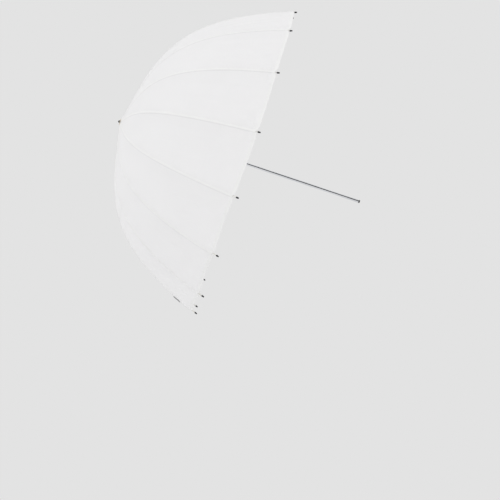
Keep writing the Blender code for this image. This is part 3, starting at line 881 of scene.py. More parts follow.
def make_tip():
    end = RIB_LINE[-1]
    along = rib_direction(RIB_RUN[-1] - 0.001)
    profile = [
        (0.0001, 0.0), (0.0001, 0.00162), (-0.00430, 0.00162), (-0.00440, 0.00172),
        (-0.00442, 0.00190), (-0.00435, 0.00204), (-0.00420, 0.0021), (0.00045, 0.0021),
        (0.00075, 0.00204), (0.00100, 0.00178), (0.00122, 0.00156), (0.00148, 0.00144),
        (0.00170, 0.00140), (0.00192, 0.00144), (0.00215, 0.00160), (0.00238, 0.00190),
        (0.00255, 0.00205), (0.00275, 0.00206), (0.00300, 0.00192), (0.00322, 0.00168),
        (0.00340, 0.00136), (0.00352, 0.00096), (0.00359, 0.00050), (0.00361, 0.0),
    ]
    shape = Shape()
    verts, faces = lathe(profile, 40)
    shape.add(laid(verts, along), faces, 0)
    # lashing that holds the hem corner, wound on the sleeve's rear end
    for k, x in enumerate((-0.00405, -0.00370, -0.00334)):
        loop = [
            (x + 0.00010 * math.sin(a * 2 + k), 0.00220 * math.cos(a), 0.00220 * math.sin(a))
            for a in np.linspace(0, math.tau, 28, endpoint=False)
        ]
        v, f = tube_path(loop, 0.00018, 6, closed=True)
        shape.add(laid(v, along), f, 1)
    mesh = shape.mesh("rib_end_bead", [DARK, THREAD], 50)
    return fix_normals(mesh), end, along


rib_mesh = make_rib()
stretcher_mesh = make_stretcher()
tip_mesh, rod_end, rod_along = make_tip()
for k in range(RIBS):
    azimuth = azimuth_of(k)
    number = f"{k + 1:02d}"
    out = radial(azimuth)
    origin = Vector((NOTCH_X, 0, 0)) + Vector(out * NOTCH_R)
    place(f"rib_rod_{number}", rib_mesh, f"rib_{number}", [f"rib_{number}"],
          "rib_fibreglass", origin, azimuth)
    tip_at = Vector((NOTCH_X + rod_end[0], 0, 0)) + Vector(out * (NOTCH_R + rod_end[1]))
    place(f"rib_bead_{number}", tip_mesh, f"rib_{number}", [f"rib_tip_{number}"],
          "dark_metal", tip_at, azimuth)
    prop_at = Vector((PROP_X, 0, 0)) + Vector(out * PROP_R)
    place(f"stretcher_bar_{number}", stretcher_mesh, f"stretcher_{number}",
          [f"stretcher_{number}"], "plated_steel", prop_at, azimuth)


# ------------------------------------------------------------ canopy surface
def relaxed_sag():
    """Form finding for one gore: the flat chord surface between two ribs is let
    go along its normals until the pull along the gore and the pull across it
    balance, with the rib lines held and a cord in the hem."""
    rows, cols = 61, 21
    s = np.linspace(FABRIC_HOLE, ARC_LENGTH - 0.004, rows)
    w = np.linspace(-1, 1, cols)
    r = radius_at(s)
    half = STEP / 2
    base = np.stack(
        [
            np.repeat(dome(r)[:, None], cols, 1),
            np.repeat((r * math.cos(half))[:, None], cols, 1),
            (r * math.sin(half))[:, None] * w[None],
        ],
        -1,
    )
    ds = np.gradient(base, axis=0)
    dw = np.gradient(base, axis=1)
    normal = np.cross(dw, ds)
    normal /= np.maximum(np.linalg.norm(normal, axis=2), 1e-12)[..., None]
    if normal[rows // 2, cols // 2, 1] < 0:
        normal = -normal
    step_s = np.linalg.norm(ds, axis=2)
    step_w = np.linalg.norm(dw, axis=2)
    fade = 1 - 0.75 * smooth(0.80, 1.0, (s - s[0]) / (s[-1] - s[0]))[:, None]
    pull_s = 0.75 * fade * step_w / step_s
    pull_w = 1.0 * step_s / np.maximum(step_w, 1e-6)
    pull_w[-1] += 30.0 * step_s[-1] / step_w[-1]
    pull_w[0] += 30.0 * step_s[0] / np.maximum(step_w[0], 1e-6)
    h = np.zeros((rows, cols))
    for _ in range(900):
        p = base + normal * h[..., None]
        total = np.zeros_like(p)
        weight = np.zeros((rows, cols))
        q = (pull_s[1:] + pull_s[:-1]) / 2
        total[1:] += q[..., None] * p[:-1]
        weight[1:] += q
        total[:-1] += q[..., None] * p[1:]
        weight[:-1] += q
        q = (pull_w[:, 1:] + pull_w[:, :-1]) / 2
        total[:, 1:] += q[..., None] * p[:, :-1]
        weight[:, 1:] += q
        total[:, :-1] += q[..., None] * p[:, 1:]
        weight[:, :-1] += q
        goal = total / weight[..., None]
        move = np.einsum("ijk,ijk->ij", goal - p, normal)
        # the hem and the crown edge only feel the pull across the gore
        for edge in (0, -1):
            flat = (h[edge, 2:] + h[edge, :-2]) / 2 - h[edge, 1:-1]
            move[edge, 1:-1] = flat
        h[:, 1:-1] += 0.9 * move[:, 1:-1]
    return s, w, h


SAG_S, SAG_W, SAG = relaxed_sag()
print("gore sag mm", round(float(SAG.min()) * 1000, 2), round(float(SAG.max()) * 1000, 2))


def sag_at(s, w):
    i = np.clip(np.interp(s, SAG_S, np.arange(len(SAG_S))), 0, len(SAG_S) - 1.0001)
    j = np.clip((w + 1) / 2 * (len(SAG_W) - 1), 0, len(SAG_W) - 1.0001)
    i0, j0 = i.astype(int), j.astype(int)
    a, b = i - i0, j - j0
    a, b = a, b
    return (
        SAG[i0, j0] * (1 - a) * (1 - b) + SAG[i0 + 1, j0] * a * (1 - b)
        + SAG[i0, j0 + 1] * (1 - a) * b + SAG[i0 + 1, j0 + 1] * a * b
    )


def hem_back(g, w):
    """How far before the rib ends the hem of gore g lies. It sits a little
    further back on the lower half, and dips to a notch at each rib."""
    middle = FIRST + (g + 0.5) * STEP
    turn = np.degrees(middle + w * STEP / 2) % 360
    turn = np.minimum(turn, 360 - turn)
    low = smooth(86, 112, turn)
    half = RIM * math.sin(STEP / 2)
    back = 0.0026 + 0.0062 * low + 0.0034 * low * (1 - w**2)
    back = back + 0.0012 * np.sin(PHASE[g % RIBS, 0] + 1.3 * w) * (1 - w**2)
    off = half * (1 - np.abs(w))
    notch = 0.0064 + 0.0006 * low
    return back + notch * np.exp(-((off / 0.0052) ** 1.6))


def gore_point(s, w, g):
    """Outer fabric face of gore g at arc s and w from -1 (rib g) to 1 (rib g+1)."""
    half = STEP / 2
    r = radius_at(s)
    d = dome(r)
    middle = FIRST + (g + 0.5) * STEP
    slope = dome_slope(r)
    length = np.hypot(1, slope)
    # outward normal of the chord surface in the gore's mid plane
    nx, nr = -1 / length, slope * 0 + 0
    nx = -np.cos(half) / np.hypot(np.cos(half), slope)
    nr = slope / np.hypot(np.cos(half), slope)
    side = r * math.sin(half)
    off = side * (1 - np.abs(w))
    share = s / ARC_LENGTH
    h = sag_at(s, w)
    # soft ridge over the rod instead of a knife edge
    h = h + (off + 0.0020 - np.sqrt(off**2 + 0.0020**2)) * 0.195 * nr
    # double cloth and thread line of the seam
    grow = smooth(0.0, 0.03, s)
    h = h + 0.00024 * smooth(0.0034, 0.0026, off) * grow
    # the seam draws the cloth up in small tucks
    sign = np.where(w < 0, 0.0, 1.0)
    gi = g % RIBS
    pucker = np.sin(s * math.tau / 0.0165 + PHASE[gi, 1] + 3 * sign + 1.7 * np.sin(s * 31 + PHASE[gi, 2]))
    pucker = pucker * (0.55 + 0.45 * np.sin(s * 47 + PHASE[gi, 3] + 2 * sign))
    h = h + 0.00020 * pucker * np.exp(-(((off - 0.0052) / 0.0060) ** 2)) * smooth(0.05, 0.16, s)
    # long pull lines that run out to the hem
    outer = smooth(0.50, 0.86, share)
    bow = 1 - w**2
    bend = w + 0.16 * np.sin(PHASE[gi, 4]) * (1 - share)
    pull = np.sin(math.tau * (bend * 1.9 + 0.25 * share) + PHASE[gi, 5])
    pull = pull + 0.6 * np.sin(math.tau * (bend * 3.3 - 0.5 * share) + PHASE[gi, 6])
    h = h + 0.00026 * STRENGTH[gi, 0] * pull * outer * bow
    # pleats that fan out of the two hem corners
    edge = ARC_LENGTH - 0.010 - s
    for corner, which in ((-1.0, 1), (1.0, 2)):
        across = side * np.abs(w - corner)
        far = np.hypot(across, edge)
        angle = np.arctan2(across, np.maximum(edge, 1e-5))
        fan = np.sin(angle * 11 + PHASE[gi, 6 + (which - 1)])
        h = h + 0.00038 * STRENGTH[gi, which] * fan * np.exp(-((far / 0.055) ** 1.5)) * (
            1 - np.exp(-((across / 0.010) ** 2))
        )
    out = radial(middle)
    # tangential unit that grows with azimuth
    side_axis = np.array([0.0, -math.cos(middle), -math.sin(middle)])
    x = d - REACH + h * nx
    rad = r * math.cos(half) + h * nr
    tan = side * w
    return (
        np.stack([x, np.zeros_like(x), np.zeros_like(x)], -1)
        + rad[..., None] * out
        + tan[..., None] * side_axis
    )


def gore_normal(s, w, g):
    es, ew = 0.0006, 0.004
    a = gore_point(s + es, w, g) - gore_point(s - es, w, g)
    w0, w1 = np.clip(w - ew, -1, 1), np.clip(w + ew, -1, 1)
    b = gore_point(s, w1, g) - gore_point(s, w0, g)
    n = np.cross(a, b)
    n /= np.maximum(np.linalg.norm(n, axis=-1), 1e-15)[..., None]
    # outward
    outward = n[..., 0] * 0 + np.sum(n * gore_point(s, w, g) * [0, 1, 1], -1) - 0.02 * n[..., 0]
    return np.where(outward[..., None] < 0, -n, n)


ROWS = 150
SEAM_COLS = np.array([0.0, 0.0009, 0.0018, 0.0026, 0.0034, 0.0052])
FREE_COLS = 9


def column_w(side_count=None):
    """w measured from the rib (0) to mid-gore (1), at every row: fixed seam
    columns near the rib and even ones beyond, squeezed towards the crown."""
    shares = np.linspace(0, 1, ROWS)
    arcs = FABRIC_HOLE + (ARC_LENGTH - FABRIC_HOLE) * shares
    half = radius_at(arcs) * math.sin(STEP / 2)
    squeeze = np.minimum(1.0, half / 0.013)
    cols = []
    seam = SEAM_COLS[None] * squeeze[:, None] / half[:, None]
    cols.append(seam)
    start = seam[:, -1]
    free = start[:, None] + (1 - start[:, None]) * (
        np.linspace(0, 1, FREE_COLS + 1)[1:][None] ** 0.9
    )
    cols.append(free)
    out = np.concatenate(cols, 1)
    out[:, -1] = 1.0
    return out


COLUMNS = column_w()
NCOL = COLUMNS.shape[1]
ROW_SHARE = 1 - (1 - np.linspace(0, 1, ROWS)) ** 1.06


def sector_fields(s, w, g, back):
    half = radius_at(s) * math.sin(STEP / 2)
    cloth = np.stack([half * w + 0.37 * (g % RIBS), s, np.zeros_like(s)], -1)
    seam = half * (1 - np.abs(w)) * np.where(w < 0, 1.0, -1.0)
    hem = ARC_LENGTH - back - s
    return cloth, seam, hem


def make_sector(k):
    """Fabric from mid-gore to mid-gore over rib k."""
    shape = Shape()
    # columns from the left mid-gore over the rib to the right mid-gore
    left = COLUMNS[:, ::-1]
    right = COLUMNS[:, 1:]
    wl = 1 - left                      # gore k-1: rib k is at w = +1
    wr = -1 + right                    # gore k: rib k is at w = -1
    parts = []
    for w, g in ((wl, k - 1), (wr, k)):
        back = hem_back(g, w)
        s = FABRIC_HOLE + (ARC_LENGTH - back - FABRIC_HOLE) * ROW_SHARE[:, None]
        # rows are laid with the hem line of the last row
        last = hem_back(g, w[-1:])
        s = FABRIC_HOLE + (ARC_LENGTH - last - FABRIC_HOLE) * ROW_SHARE[:, None] + 0 * w
        parts.append((s, w, g))
    points, normals, cloth, seam, hem = [], [], [], [], []
    for s, w, g in parts:
        p = gore_point(s, w, g)
        n = gore_normal(s, w, g)
        c, a, b = sector_fields(s, w, g, hem_back(g, w))
        points.append(p), normals.append(n), cloth.append(c), seam.append(a), hem.append(b)
    # over the rib both gores share one normal
    ridge = normals[0][:, -1] + gore_normal(parts[1][0][:, :1], np.full((ROWS, 1), -1.0), k)[:, 0]
    ridge /= np.linalg.norm(ridge, axis=1)[:, None]
    normals[0][:, -1] = ridge
    P = np.concatenate(points, 1)
    N = np.concatenate(normals, 1)
    C = np.concatenate(cloth, 1)
    A = np.concatenate(seam, 1)
    B = np.concatenate(hem, 1)
    cols = P.shape[1]
    faces = grid_faces(ROWS, cols)
    start = shape.add(
        P.reshape(-1, 3), faces, 0, normals=N.reshape(-1, 3), cloth=C.reshape(-1, 3),
        seam=A.ravel(), hem=B.ravel(),
    )
    # folded hem: round the edge and back along the inside
    rows = []
    S = np.concatenate([parts[0][0], parts[1][0]], 1)[-1]
    W = np.concatenate([parts[0][1], parts[1][1]], 1)[-1]
    G = np.array([k - 1] * parts[0][0].shape[1] + [k] * parts[1][0].shape[1])
    down = P[-1] - P[-2]
    down /= np.linalg.norm(down, axis=1)[:, None]
    n = N[-1]
    layer = 0.00046
    stages = [
        (0.00018, 0.00008, 0.0), (0.00025, 0.00023, 0.0), (0.00018, 0.00038, 0.0),
        (0.0, layer, 0.0), (0.0, layer, 0.0020), (0.0, layer, 0.0045),
        (0.0, layer, 0.0070), (0.0, layer * 0.8, 0.0080),
    ]
    fold_p, fold_n, fold_c, fold_h = [], [], [], []
    for past, under, back_by in stages:
        line = []
        nn = []
        for col in range(cols):
            if back_by > 0:
                line.append(None)
            else:
                line.append(P[-1, col] + down[col] * past - n[col] * under)
        if back_by > 0:
            line = []
            for g in (k - 1, k):
                pick = G == g
                sp = gore_point((S[pick] - back_by), W[pick], g)
                npk = gore_normal((S[pick] - back_by), W[pick], g)
                line.append(sp - npk * under)
            line = np.concatenate(line, 0)
        else:
            line = np.array(line)
        fold_p.append(line)
        turn_n = n * (1 if under < 0.0002 else -1) if back_by == 0 else -n
        if 0.0002 <= under < 0.0003:
            turn_n = down
        fold_n.append(turn_n)
        fold_c.append(np.stack([C[-1, :, 0], C[-1, :, 1] + 0.02 + back_by, np.zeros(cols)], -1))
        fold_h.append(np.full(cols, back_by))
    FP = np.array(fold_p)
    m = len(stages)
    faces = grid_faces(m, cols)
    first = shape.add(
        FP.reshape(-1, 3), faces, 0, normals=np.array(fold_n).reshape(-1, 3),
        cloth=np.array(fold_c).reshape(-1, 3), seam=np.full(m * cols, 0.02),
        hem=np.array(fold_h).ravel(),
    )
    # join the sheet's last row to the fold
    edge_row = start + (ROWS - 1) * cols
    for j in range(cols - 1):
        shape.faces.append([edge_row + j, edge_row + j + 1, first + j + 1, first + j])
        shape.index.append(0)
        shape.flat.append(False)
    # seam allowance inside, two turned edges
    step = 3
    pick = np.arange(8, ROWS - 2, step)
    strip = []
    strip_n, strip_c = [], []
    offsets = (-0.0031, -0.0016, 0.0, 0.0016, 0.0031)
    for row in pick:
        s_row = float(parts[1][0][row, 0])
        half = float(radius_at(s_row)) * math.sin(STEP / 2)
        for off in offsets:
            g = k if off >= 0 else k - 1
            w = (-1 + off / half) if off >= 0 else (1 + off / half)
            w = min(max(w, -1.0), 1.0)
            pt = gore_point(np.array([s_row]), np.array([w]), g)[0]
            nn = gore_normal(np.array([s_row]), np.array([w]), g)[0]
            under = 0.00042 + 0.00010 * (abs(off) < 0.002)
            strip.append(pt - nn * under)
            strip_n.append(-nn)
            strip_c.append((off, s_row, 0.0))
    faces = grid_faces(len(pick), len(offsets), flip=True)
    shape.add(
        np.array(strip), faces, 0, normals=np.array(strip_n), cloth=np.array(strip_c),
        seam=np.zeros(len(strip)), hem=np.full(len(strip), 0.1),
    )
    # stitches: two rows along the seam and one along the hem
    def stitch(centre, along, normal, length=0.0023, width=0.00024, lift=0.00010):
        side = np.cross(normal, along)
        top = centre + normal * lift
        v = [
            centre - along * length / 2 - normal * 0.00008,
            centre + along * length / 2 - normal * 0.00008,
            top + side * width - along * 0.0002,
            top + normal * width * 0.9,
            top - side * width - along * 0.0002,
            top - normal * width,
        ]
        f = [(0, 3, 2), (0, 4, 3), (0, 5, 4), (0, 2, 5), (1, 2, 3), (1, 3, 4), (1, 4, 5), (1, 5, 2)]
        return v, f

    verts, faces = [], []
    seam_rows = np.arange(0.022, ARC_LENGTH - 0.018, 0.0031)
    for off_sign in (-1, 1):
        g = k if off_sign > 0 else k - 1
        half = radius_at(seam_rows) * math.sin(STEP / 2)
        off = 0.0019 * np.minimum(1, half / 0.013)
        w = np.clip((-1 + off / half) if off_sign > 0 else (1 - off / half), -1, 1)
        p = gore_point(seam_rows, w, g)
        n2 = gore_normal(seam_rows, w, g)
        ahead = gore_point(seam_rows + 0.0008, w, g) - gore_point(seam_rows - 0.0008, w, g)
        ahead /= np.linalg.norm(ahead, axis=1)[:, None]
        for i in range(len(seam_rows)):
            v, f = stitch(p[i], ahead[i], n2[i])
            base = len(verts)
            verts += v
            faces += [[base + q for q in tri] for tri in f]
    # the hem row follows the edge 6.4 mm in
    for g, w0, w1 in ((k - 1, 0.0, 0.97), (k, -0.97, 0.0)):
        fine = np.linspace(w0, w1, 400)
        line = gore_point(ARC_LENGTH - hem_back(g, fine) - 0.0064, fine, g)
        run = np.concatenate([[0], np.cumsum(np.linalg.norm(np.diff(line, axis=0), axis=1))])
        count = int(run[-1] / 0.0033)
        at = (np.arange(count) + 0.5) * run[-1] / count
        w = np.interp(at, run, fine)
        s = ARC_LENGTH - hem_back(g, w) - 0.0064
        p = gore_point(s, w, g)
        n2 = gore_normal(s, w, g)
        w2 = np.clip(w + 0.01, -1, 1)
        ahead = gore_point(ARC_LENGTH - hem_back(g, w2) - 0.0064, w2, g) - p
        ahead /= np.maximum(np.linalg.norm(ahead, axis=1), 1e-9)[:, None]
        for i in range(count):
            v, f = stitch(p[i], ahead[i], n2[i], 0.0024)
            base = len(verts)
            verts += v
            faces += [[base + q for q in tri] for tri in f]
    shape.add(np.array(verts), faces, 1)
    # threads from the hem corner to the bead
    azimuth = azimuth_of(k)
    out = radial(azimuth)
    tan = np.cross([1.0, 0.0, 0.0], out)
    corner = P[-1, NCOL - 1] - N[-1, NCOL - 1] * 0.0003
    bead = (
        np.array([NOTCH_X + rod_end[0], 0, 0]) + out * (NOTCH_R + rod_end[1])
        - (np.array([rod_along[0], 0, 0]) + out * rod_along[1]) * 0.0037
    )
    rod_dir = np.array([rod_along[0], 0, 0]) + out * rod_along[1]
    up = out * rod_along[0] - np.array([rod_along[1], 0, 0])
    for lift, side in ((1.0, -0.0009), (1.0, 0.0), (1.0, 0.0009)):
        a = corner - rod_dir * 0.0035 + tan * side * 1.6
        b = bead + up * math.sqrt(0.0024**2 - side**2) + tan * side
        c = bead + rod_dir * 0.0006 + up * math.sqrt(0.00215**2 - side**2) + tan * side
        mid = a * 0.5 + b * 0.5 + up * 0.0003
        t = np.linspace(0, 1, 12)[:, None]
        line = (1 - t) ** 2 * a + 2 * t * (1 - t) * mid + t**2 * b
        line = np.concatenate([line, c[None]])
        v, f = tube_path(line, 0.00022, 6)
        shape.add(v, f, 1)
    mesh = shape.mesh(f"canopy_cloth_{k + 1:02d}", [NYLON, THREAD])
    return mesh


for k in range(RIBS):
    azimuth = azimuth_of(k)
    number = f"{k + 1:02d}"
    cloth = place(
        f"canopy_{number}", make_sector(k), f"rib_{number}", ["canopy"], "canopy_fabric"
    )
    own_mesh(cloth)


# ------------------------------------------------------------ closing strap
def make_strap():
    """Doubled webbing sewn to the gore, its near end standing off."""
    arc_at = ARC_LENGTH - 0.0615
    g = 7
    shape = Shape()
    half = float(radius_at(arc_at)) * math.sin(STEP / 2)
    length, width, thick = 0.080, 0.0235, 0.0013
    n_len, n_wid = 60, 14
    run = np.linspace(0, 1, n_len)
    across = np.linspace(-0.5, 0.5, n_wid)
    R, A = np.meshgrid(run, across, indexing="ij")
    w = -1 + (-0.002 + R * length) / half
    s = arc_at + A * width
    wc = np.clip(w, -1, 1)
    flatp = gore_point(s, wc, g)
    side_axis = tangent(FIRST + (g + 0.5) * STEP)
    flatp = flatp + ((w - wc) * half)[..., None] * side_axis
    nrm = gore_normal(s, np.clip(wc, -0.93, 1), g)
    lift = 0.0004 + 0.0007 * np.exp(-((R / 0.13) ** 2)) + 0.0003 * np.sin(R * 9) * np.exp(-R * 2)
    selvedge = 1 - 0.35 * smooth(0.44, 0.5, np.abs(A))
    bottom = flatp + nrm * lift[..., None]
    top = bottom + nrm * (thick * selvedge)[..., None]
    bottom = bottom + nrm * (thick * (1 - selvedge))[..., None]
    cloth = np.stack([R * length, A * width, np.zeros_like(R)], -1)
    count = n_len * n_wid
    faces = [list(f) for f in grid_faces(n_len, n_wid)]
    under = [[count + q for q in reversed(f)] for f in faces]
    rim = []
    for i in range(n_len - 1):
        a, b = i * n_wid, (i + 1) * n_wid
        rim.append([a, b, count + b, count + a][::-1])
        rim.append([a + n_wid - 1, b + n_wid - 1, count + b + n_wid - 1, count + a + n_wid - 1])
    for j in range(n_wid - 1):
        a, b = j, j + 1
        rim.append([a, b, count + b, count + a])
        e = (n_len - 1) * n_wid
        rim.append([e + a, e + b, count + e + b, count + e + a][::-1])
    shape.add(
        np.concatenate([top.reshape(-1, 3), bottom.reshape(-1, 3)]),
        faces + under + rim, 0,
        cloth=np.concatenate([cloth.reshape(-1, 3)] * 2),
    )
    # box stitch at the sewn end and a row at the folded end
    def on_top(a, b):
        i = int(round(a * (n_len - 1)))
        j = int(round((b + 0.5) * (n_wid - 1)))
        return i, j

    lines = []
    box = [(0.74, -0.36), (0.96, -0.36), (0.96, 0.36), (0.74, 0.36), (0.74, -0.36), (0.96, 0.36)]
    lines.append(box)
    lines.append([(0.96, -0.36), (0.74, 0.36)])
    lines.append([(0.10, -0.40), (0.10, 0.40)])
    verts, fcs = [], []

    def bilinear(field, a, b):
        x = a * (n_len - 1)
        y = (b + 0.5) * (n_wid - 1)
        i, j = min(int(x), n_len - 2), min(int(y), n_wid - 2)
        u, v = x - i, y - j
        return (
            field[i, j] * (1 - u) * (1 - v) + field[i + 1, j] * u * (1 - v)
            + field[i, j + 1] * (1 - u) * v + field[i + 1, j + 1] * u * v
        )

    for line in lines:
        for (a0, b0), (a1, b1) in zip(line, line[1:]):
            p0, p1 = bilinear(top, a0, b0), bilinear(top, a1, b1)
            count_s = max(2, int(np.linalg.norm(p1 - p0) / 0.0027))
            for i in range(count_s):
                t = (i + 0.5) / count_s
                a, b = a0 + (a1 - a0) * t, b0 + (b1 - b0) * t
                p = bilinear(top, a, b)
                nn = bilinear(nrm, a, b)
                nn = nn / np.linalg.norm(nn)
                d = p1 - p0
                d = d - nn * (d @ nn)
                d /= np.linalg.norm(d)
                sd = np.cross(nn, d)
                top_p = p + nn * 0.00012
                base = len(verts)
                verts += [
                    p - d * 0.001 - nn * 0.0001, p + d * 0.001 - nn * 0.0001,
                    top_p + sd * 0.00025, top_p + nn * 0.0002, top_p - sd * 0.00025,
                    top_p - nn * 0.0003,
                ]
                fcs += [[base + q for q in tri] for tri in (
                    (0, 3, 2), (0, 4, 3), (0, 5, 4), (0, 2, 5), (1, 2, 3), (1, 3, 4), (1, 4, 5), (1, 5, 2)
                )]
    shape.add(np.array(verts), fcs, 1)
    return fix_normals(shape.mesh("strap_band", [WEBBING, THREAD], 50))


strap = place("strap_band", make_strap(), "rib_08", ["closing_strap"], "strap_webbing")
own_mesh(strap)


# ------------------------------------------------------------ shaft and hub
def hub(name, levels, bore, sleeve, sides_per_slot=10):
    """A slotted flange with its sleeve. levels: (x, outer, slot half width, slot floor)."""
    def outline(outer, half, floor):
        pts = []
        for k in range(RIBS):
            a0 = azimuth_of(k)
            edge = math.asin(half / outer)
            low = math.asin(half / floor)
            pts.append((floor, a0 - low))
            pts.append((floor, a0))
            pts.append((floor, a0 + low))
            pts.append(((floor + outer) / 2, a0 + math.asin(half / ((floor + outer) / 2))))
            span = np.linspace(a0 + edge, a0 + STEP - edge, sides_per_slot)
            pts += [(outer, a) for a in span]
            pts.append(
                ((floor + outer) / 2, a0 + STEP - math.asin(half / ((floor + outer) / 2)))
            )
        return pts

    rings = []
    for x, outer, half, floor in levels:
        rings.append([(x, r, a) for r, a in outline(outer, half, floor)])
    count = len(rings[0])
    inner_radius = bore
    first = [(levels[0][0], inner_radius, a) for _, r, a in rings[0]]
    last = [(levels[-1][0], inner_radius, a) for _, r, a in rings[-1]]
    mid_first = [(levels[0][0], inner_radius + 0.0004, a) for _, r, a in rings[0]]
    stack = [first, mid_first] + rings + [last]
    verts = np.array(
        [
            (x, -r * math.sin(a), r * math.cos(a))
            for ring in stack for x, r, a in ring
        ]
    )
    faces = [list(f) for f in grid_faces(len(stack), count, wrap=True)]
    m = len(stack) - 1
    for j in range(count):
        k = (j + 1) % count
        faces.append([m * count + j, m * count + k, k, j])
    shape = Shape()
    shape.add(verts, faces, 0)
    v, f = lathe(rounded(sleeve, 0.0004, 4, closed=True), 72, closed=True)
    shape.add(v, f, 0)
    return shape


def cut_box(mesh, centre, size, finish, soft=0.0007, angle=40):
    """The mesh less a box whose upright edges are rounded."""
    cutter_mesh = bpy.data.meshes.new("box_cutter")
    bm = bmesh.new()
    matrix = Matrix.Translation(centre) @ Matrix.Diagonal((*size, 1))
    bmesh.ops.create_cube(bm, size=1.0, matrix=matrix)
    if soft:
        bmesh.ops.bevel(
            bm,
            geom=[
                e for e in bm.edges
                if abs((e.verts[0].co - e.verts[1].co).z) > 0.9 * size[2]
            ],
            offset=soft, segments=4, affect="EDGES",
        )
    bm.to_mesh(cutter_mesh)
    bm.free()
    cutter = bpy.data.objects.new("box_cutter", cutter_mesh)
    blank = bpy.data.objects.new("blank", mesh)
    bpy.context.scene.collection.objects.link(cutter)
    bpy.context.scene.collection.objects.link(blank)
    cut = blank.modifiers.new("cut", "BOOLEAN")
    cut.operation = "DIFFERENCE"
    cut.solver = "EXACT"
    cut.use_self = True
    cut.object = cutter
    bpy.context.view_layer.update()
    out = bpy.data.meshes.new_from_object(
        blank.evaluated_get(bpy.context.evaluated_depsgraph_get())
    )
    bpy.data.objects.remove(blank)
    bpy.data.objects.remove(cutter)
    out.shade_smooth()
    out.set_sharp_from_angle(angle=math.radians(angle))
    out.materials.clear()
    out.materials.append(finish)
    return out


half = 0.003
c = 0.00035
levels = lambda x: [
    (x - half, 0.0128 - c, 0.0011 + c * 0.6, 0.0076),
    (x - half + c, 0.0128, 0.0011, 0.0076),
    (x + half - c, 0.0128, 0.0011, 0.0076),
    (x + half, 0.0128 - c, 0.0011 + c * 0.6, 0.0076),
]
shape = hub(
    "notch", levels(NOTCH_X), 0.0043,
    [
        (-REACH + 0.0024, 0.0043), (-REACH + 0.0024, 0.0066), (NOTCH_X - half + 0.0004, 0.0092),
        (NOTCH_X - half + 0.0008, 0.0070), (NOTCH_X + half - 0.0002, 0.0064),
        (NOTCH_X + half + 0.006, 0.0060), (NOTCH_X + half + 0.006, 0.0043),
    ],
)
place("notch_body", fix_normals(shape.mesh("notch_body", [BLACK], 35)), "root",
      ["top_notch"], "black_plastic")

shape = hub(
    "runner", levels(RUNNER_X), 0.0043,
    [
        (RUNNER_X + half - 0.0004, 0.0043), (RUNNER_X + half - 0.0002, 0.0068),
        (RUNNER_X + half + 0.0006, 0.0062), (RUNNER_X + 0.0346, 0.0062),
        (RUNNER_X + 0.0360, 0.0080), (RUNNER_X + 0.0368, 0.0086),
        (RUNNER_X + 0.0420, 0.0086), (RUNNER_X + 0.0430, 0.0076), (RUNNER_X + 0.0430, 0.0043),
    ],
)
# two mould parting lines on the sleeve
for turn in (0.0, math.pi):
    verts = []
    xs = np.linspace(RUNNER_X + 0.0042, RUNNER_X + 0.0340, 10)
    for x in xs:
        for off, lift in ((-0.00022, -0.0001), (0.0, 0.00010), (0.00022, -0.0001)):
            a = turn + off / 0.0062
            r = 0.0062 + lift
            verts.append((x, r * math.cos(a), r * math.sin(a)))
    shape.add(np.array(verts), grid_faces(len(xs), 3), 0)
# groove that passes over the catch, closed by the sleeve's end wall
groove_from, groove_to = RUNNER_X - half - 0.002, RUNNER_X + 0.043 - 0.0020
runner_mesh = cut_box(
    fix_normals(shape.mesh("runner_body", [BLACK], 35)),
    ((groove_from + groove_to) / 2, 0, 0.0045),
    (groove_to - groove_from, 0.0030, 0.0045), BLACK, soft=0.0, angle=35,
)
place("runner_body", runner_mesh, "runner", ["runner"], "black_plastic")

for name, x, body, node in (
    ("notch_ring", NOTCH_X, "root", "notch_wire"),
    ("runner_ring", RUNNER_X, "runner", "runner_wire"),
):
    loop = [
        (x, -0.0105 * math.sin(a), 0.0105 * math.cos(a))
        for a in np.linspace(0, math.tau, 96, endpoint=False)
    ]
    verts, faces = tube_path(loop, 0.0004, 10, closed=True)
    shape = Shape()
    shape.add(verts, faces, 0)
    place(name, fix_normals(shape.mesh(name, [WIRE], 60)), body, [node], "plated_steel")


def solid(name, profile, body, nodes, slot, finish, sides=72, closed=False, soft=0.0003, sharp=50):
    shape = Shape()
    points = rounded(profile, soft, 5, closed) if soft else profile
    verts, faces = lathe(points, sides, closed)
    shape.add(verts, faces, 0)
    return place(name, fix_normals(shape.mesh(name, [finish], sharp)), body, nodes, slot)


# the tube, with its catch slot cut through the upper wall
shape = Shape()
verts, faces = lathe(
    [(-REACH - 0.0010, 0.0032), (-REACH - 0.0010, 0.0038), (-REACH - 0.0008, 0.0040),
     (-0.45, 0.0040), (-0.3, 0.0040), (-0.15, 0.0040),
     (-0.0036, 0.0040), (-0.0034, 0.0038), (-0.0034, 0.0032)],
    64, closed=True,
)
shape.add(verts, faces, 0)
tube_mesh = fix_normals(shape.mesh("shaft_body", [CHROME], 50))
cut_mesh = cut_box(
    tube_mesh, (CATCH_X + 0.0017, 0, 0.005), (0.0041, 0.0030, 0.006), CHROME, soft=0.0007
)
place("shaft_body", cut_mesh, "root", ["shaft_tube"], "shaft_chrome")

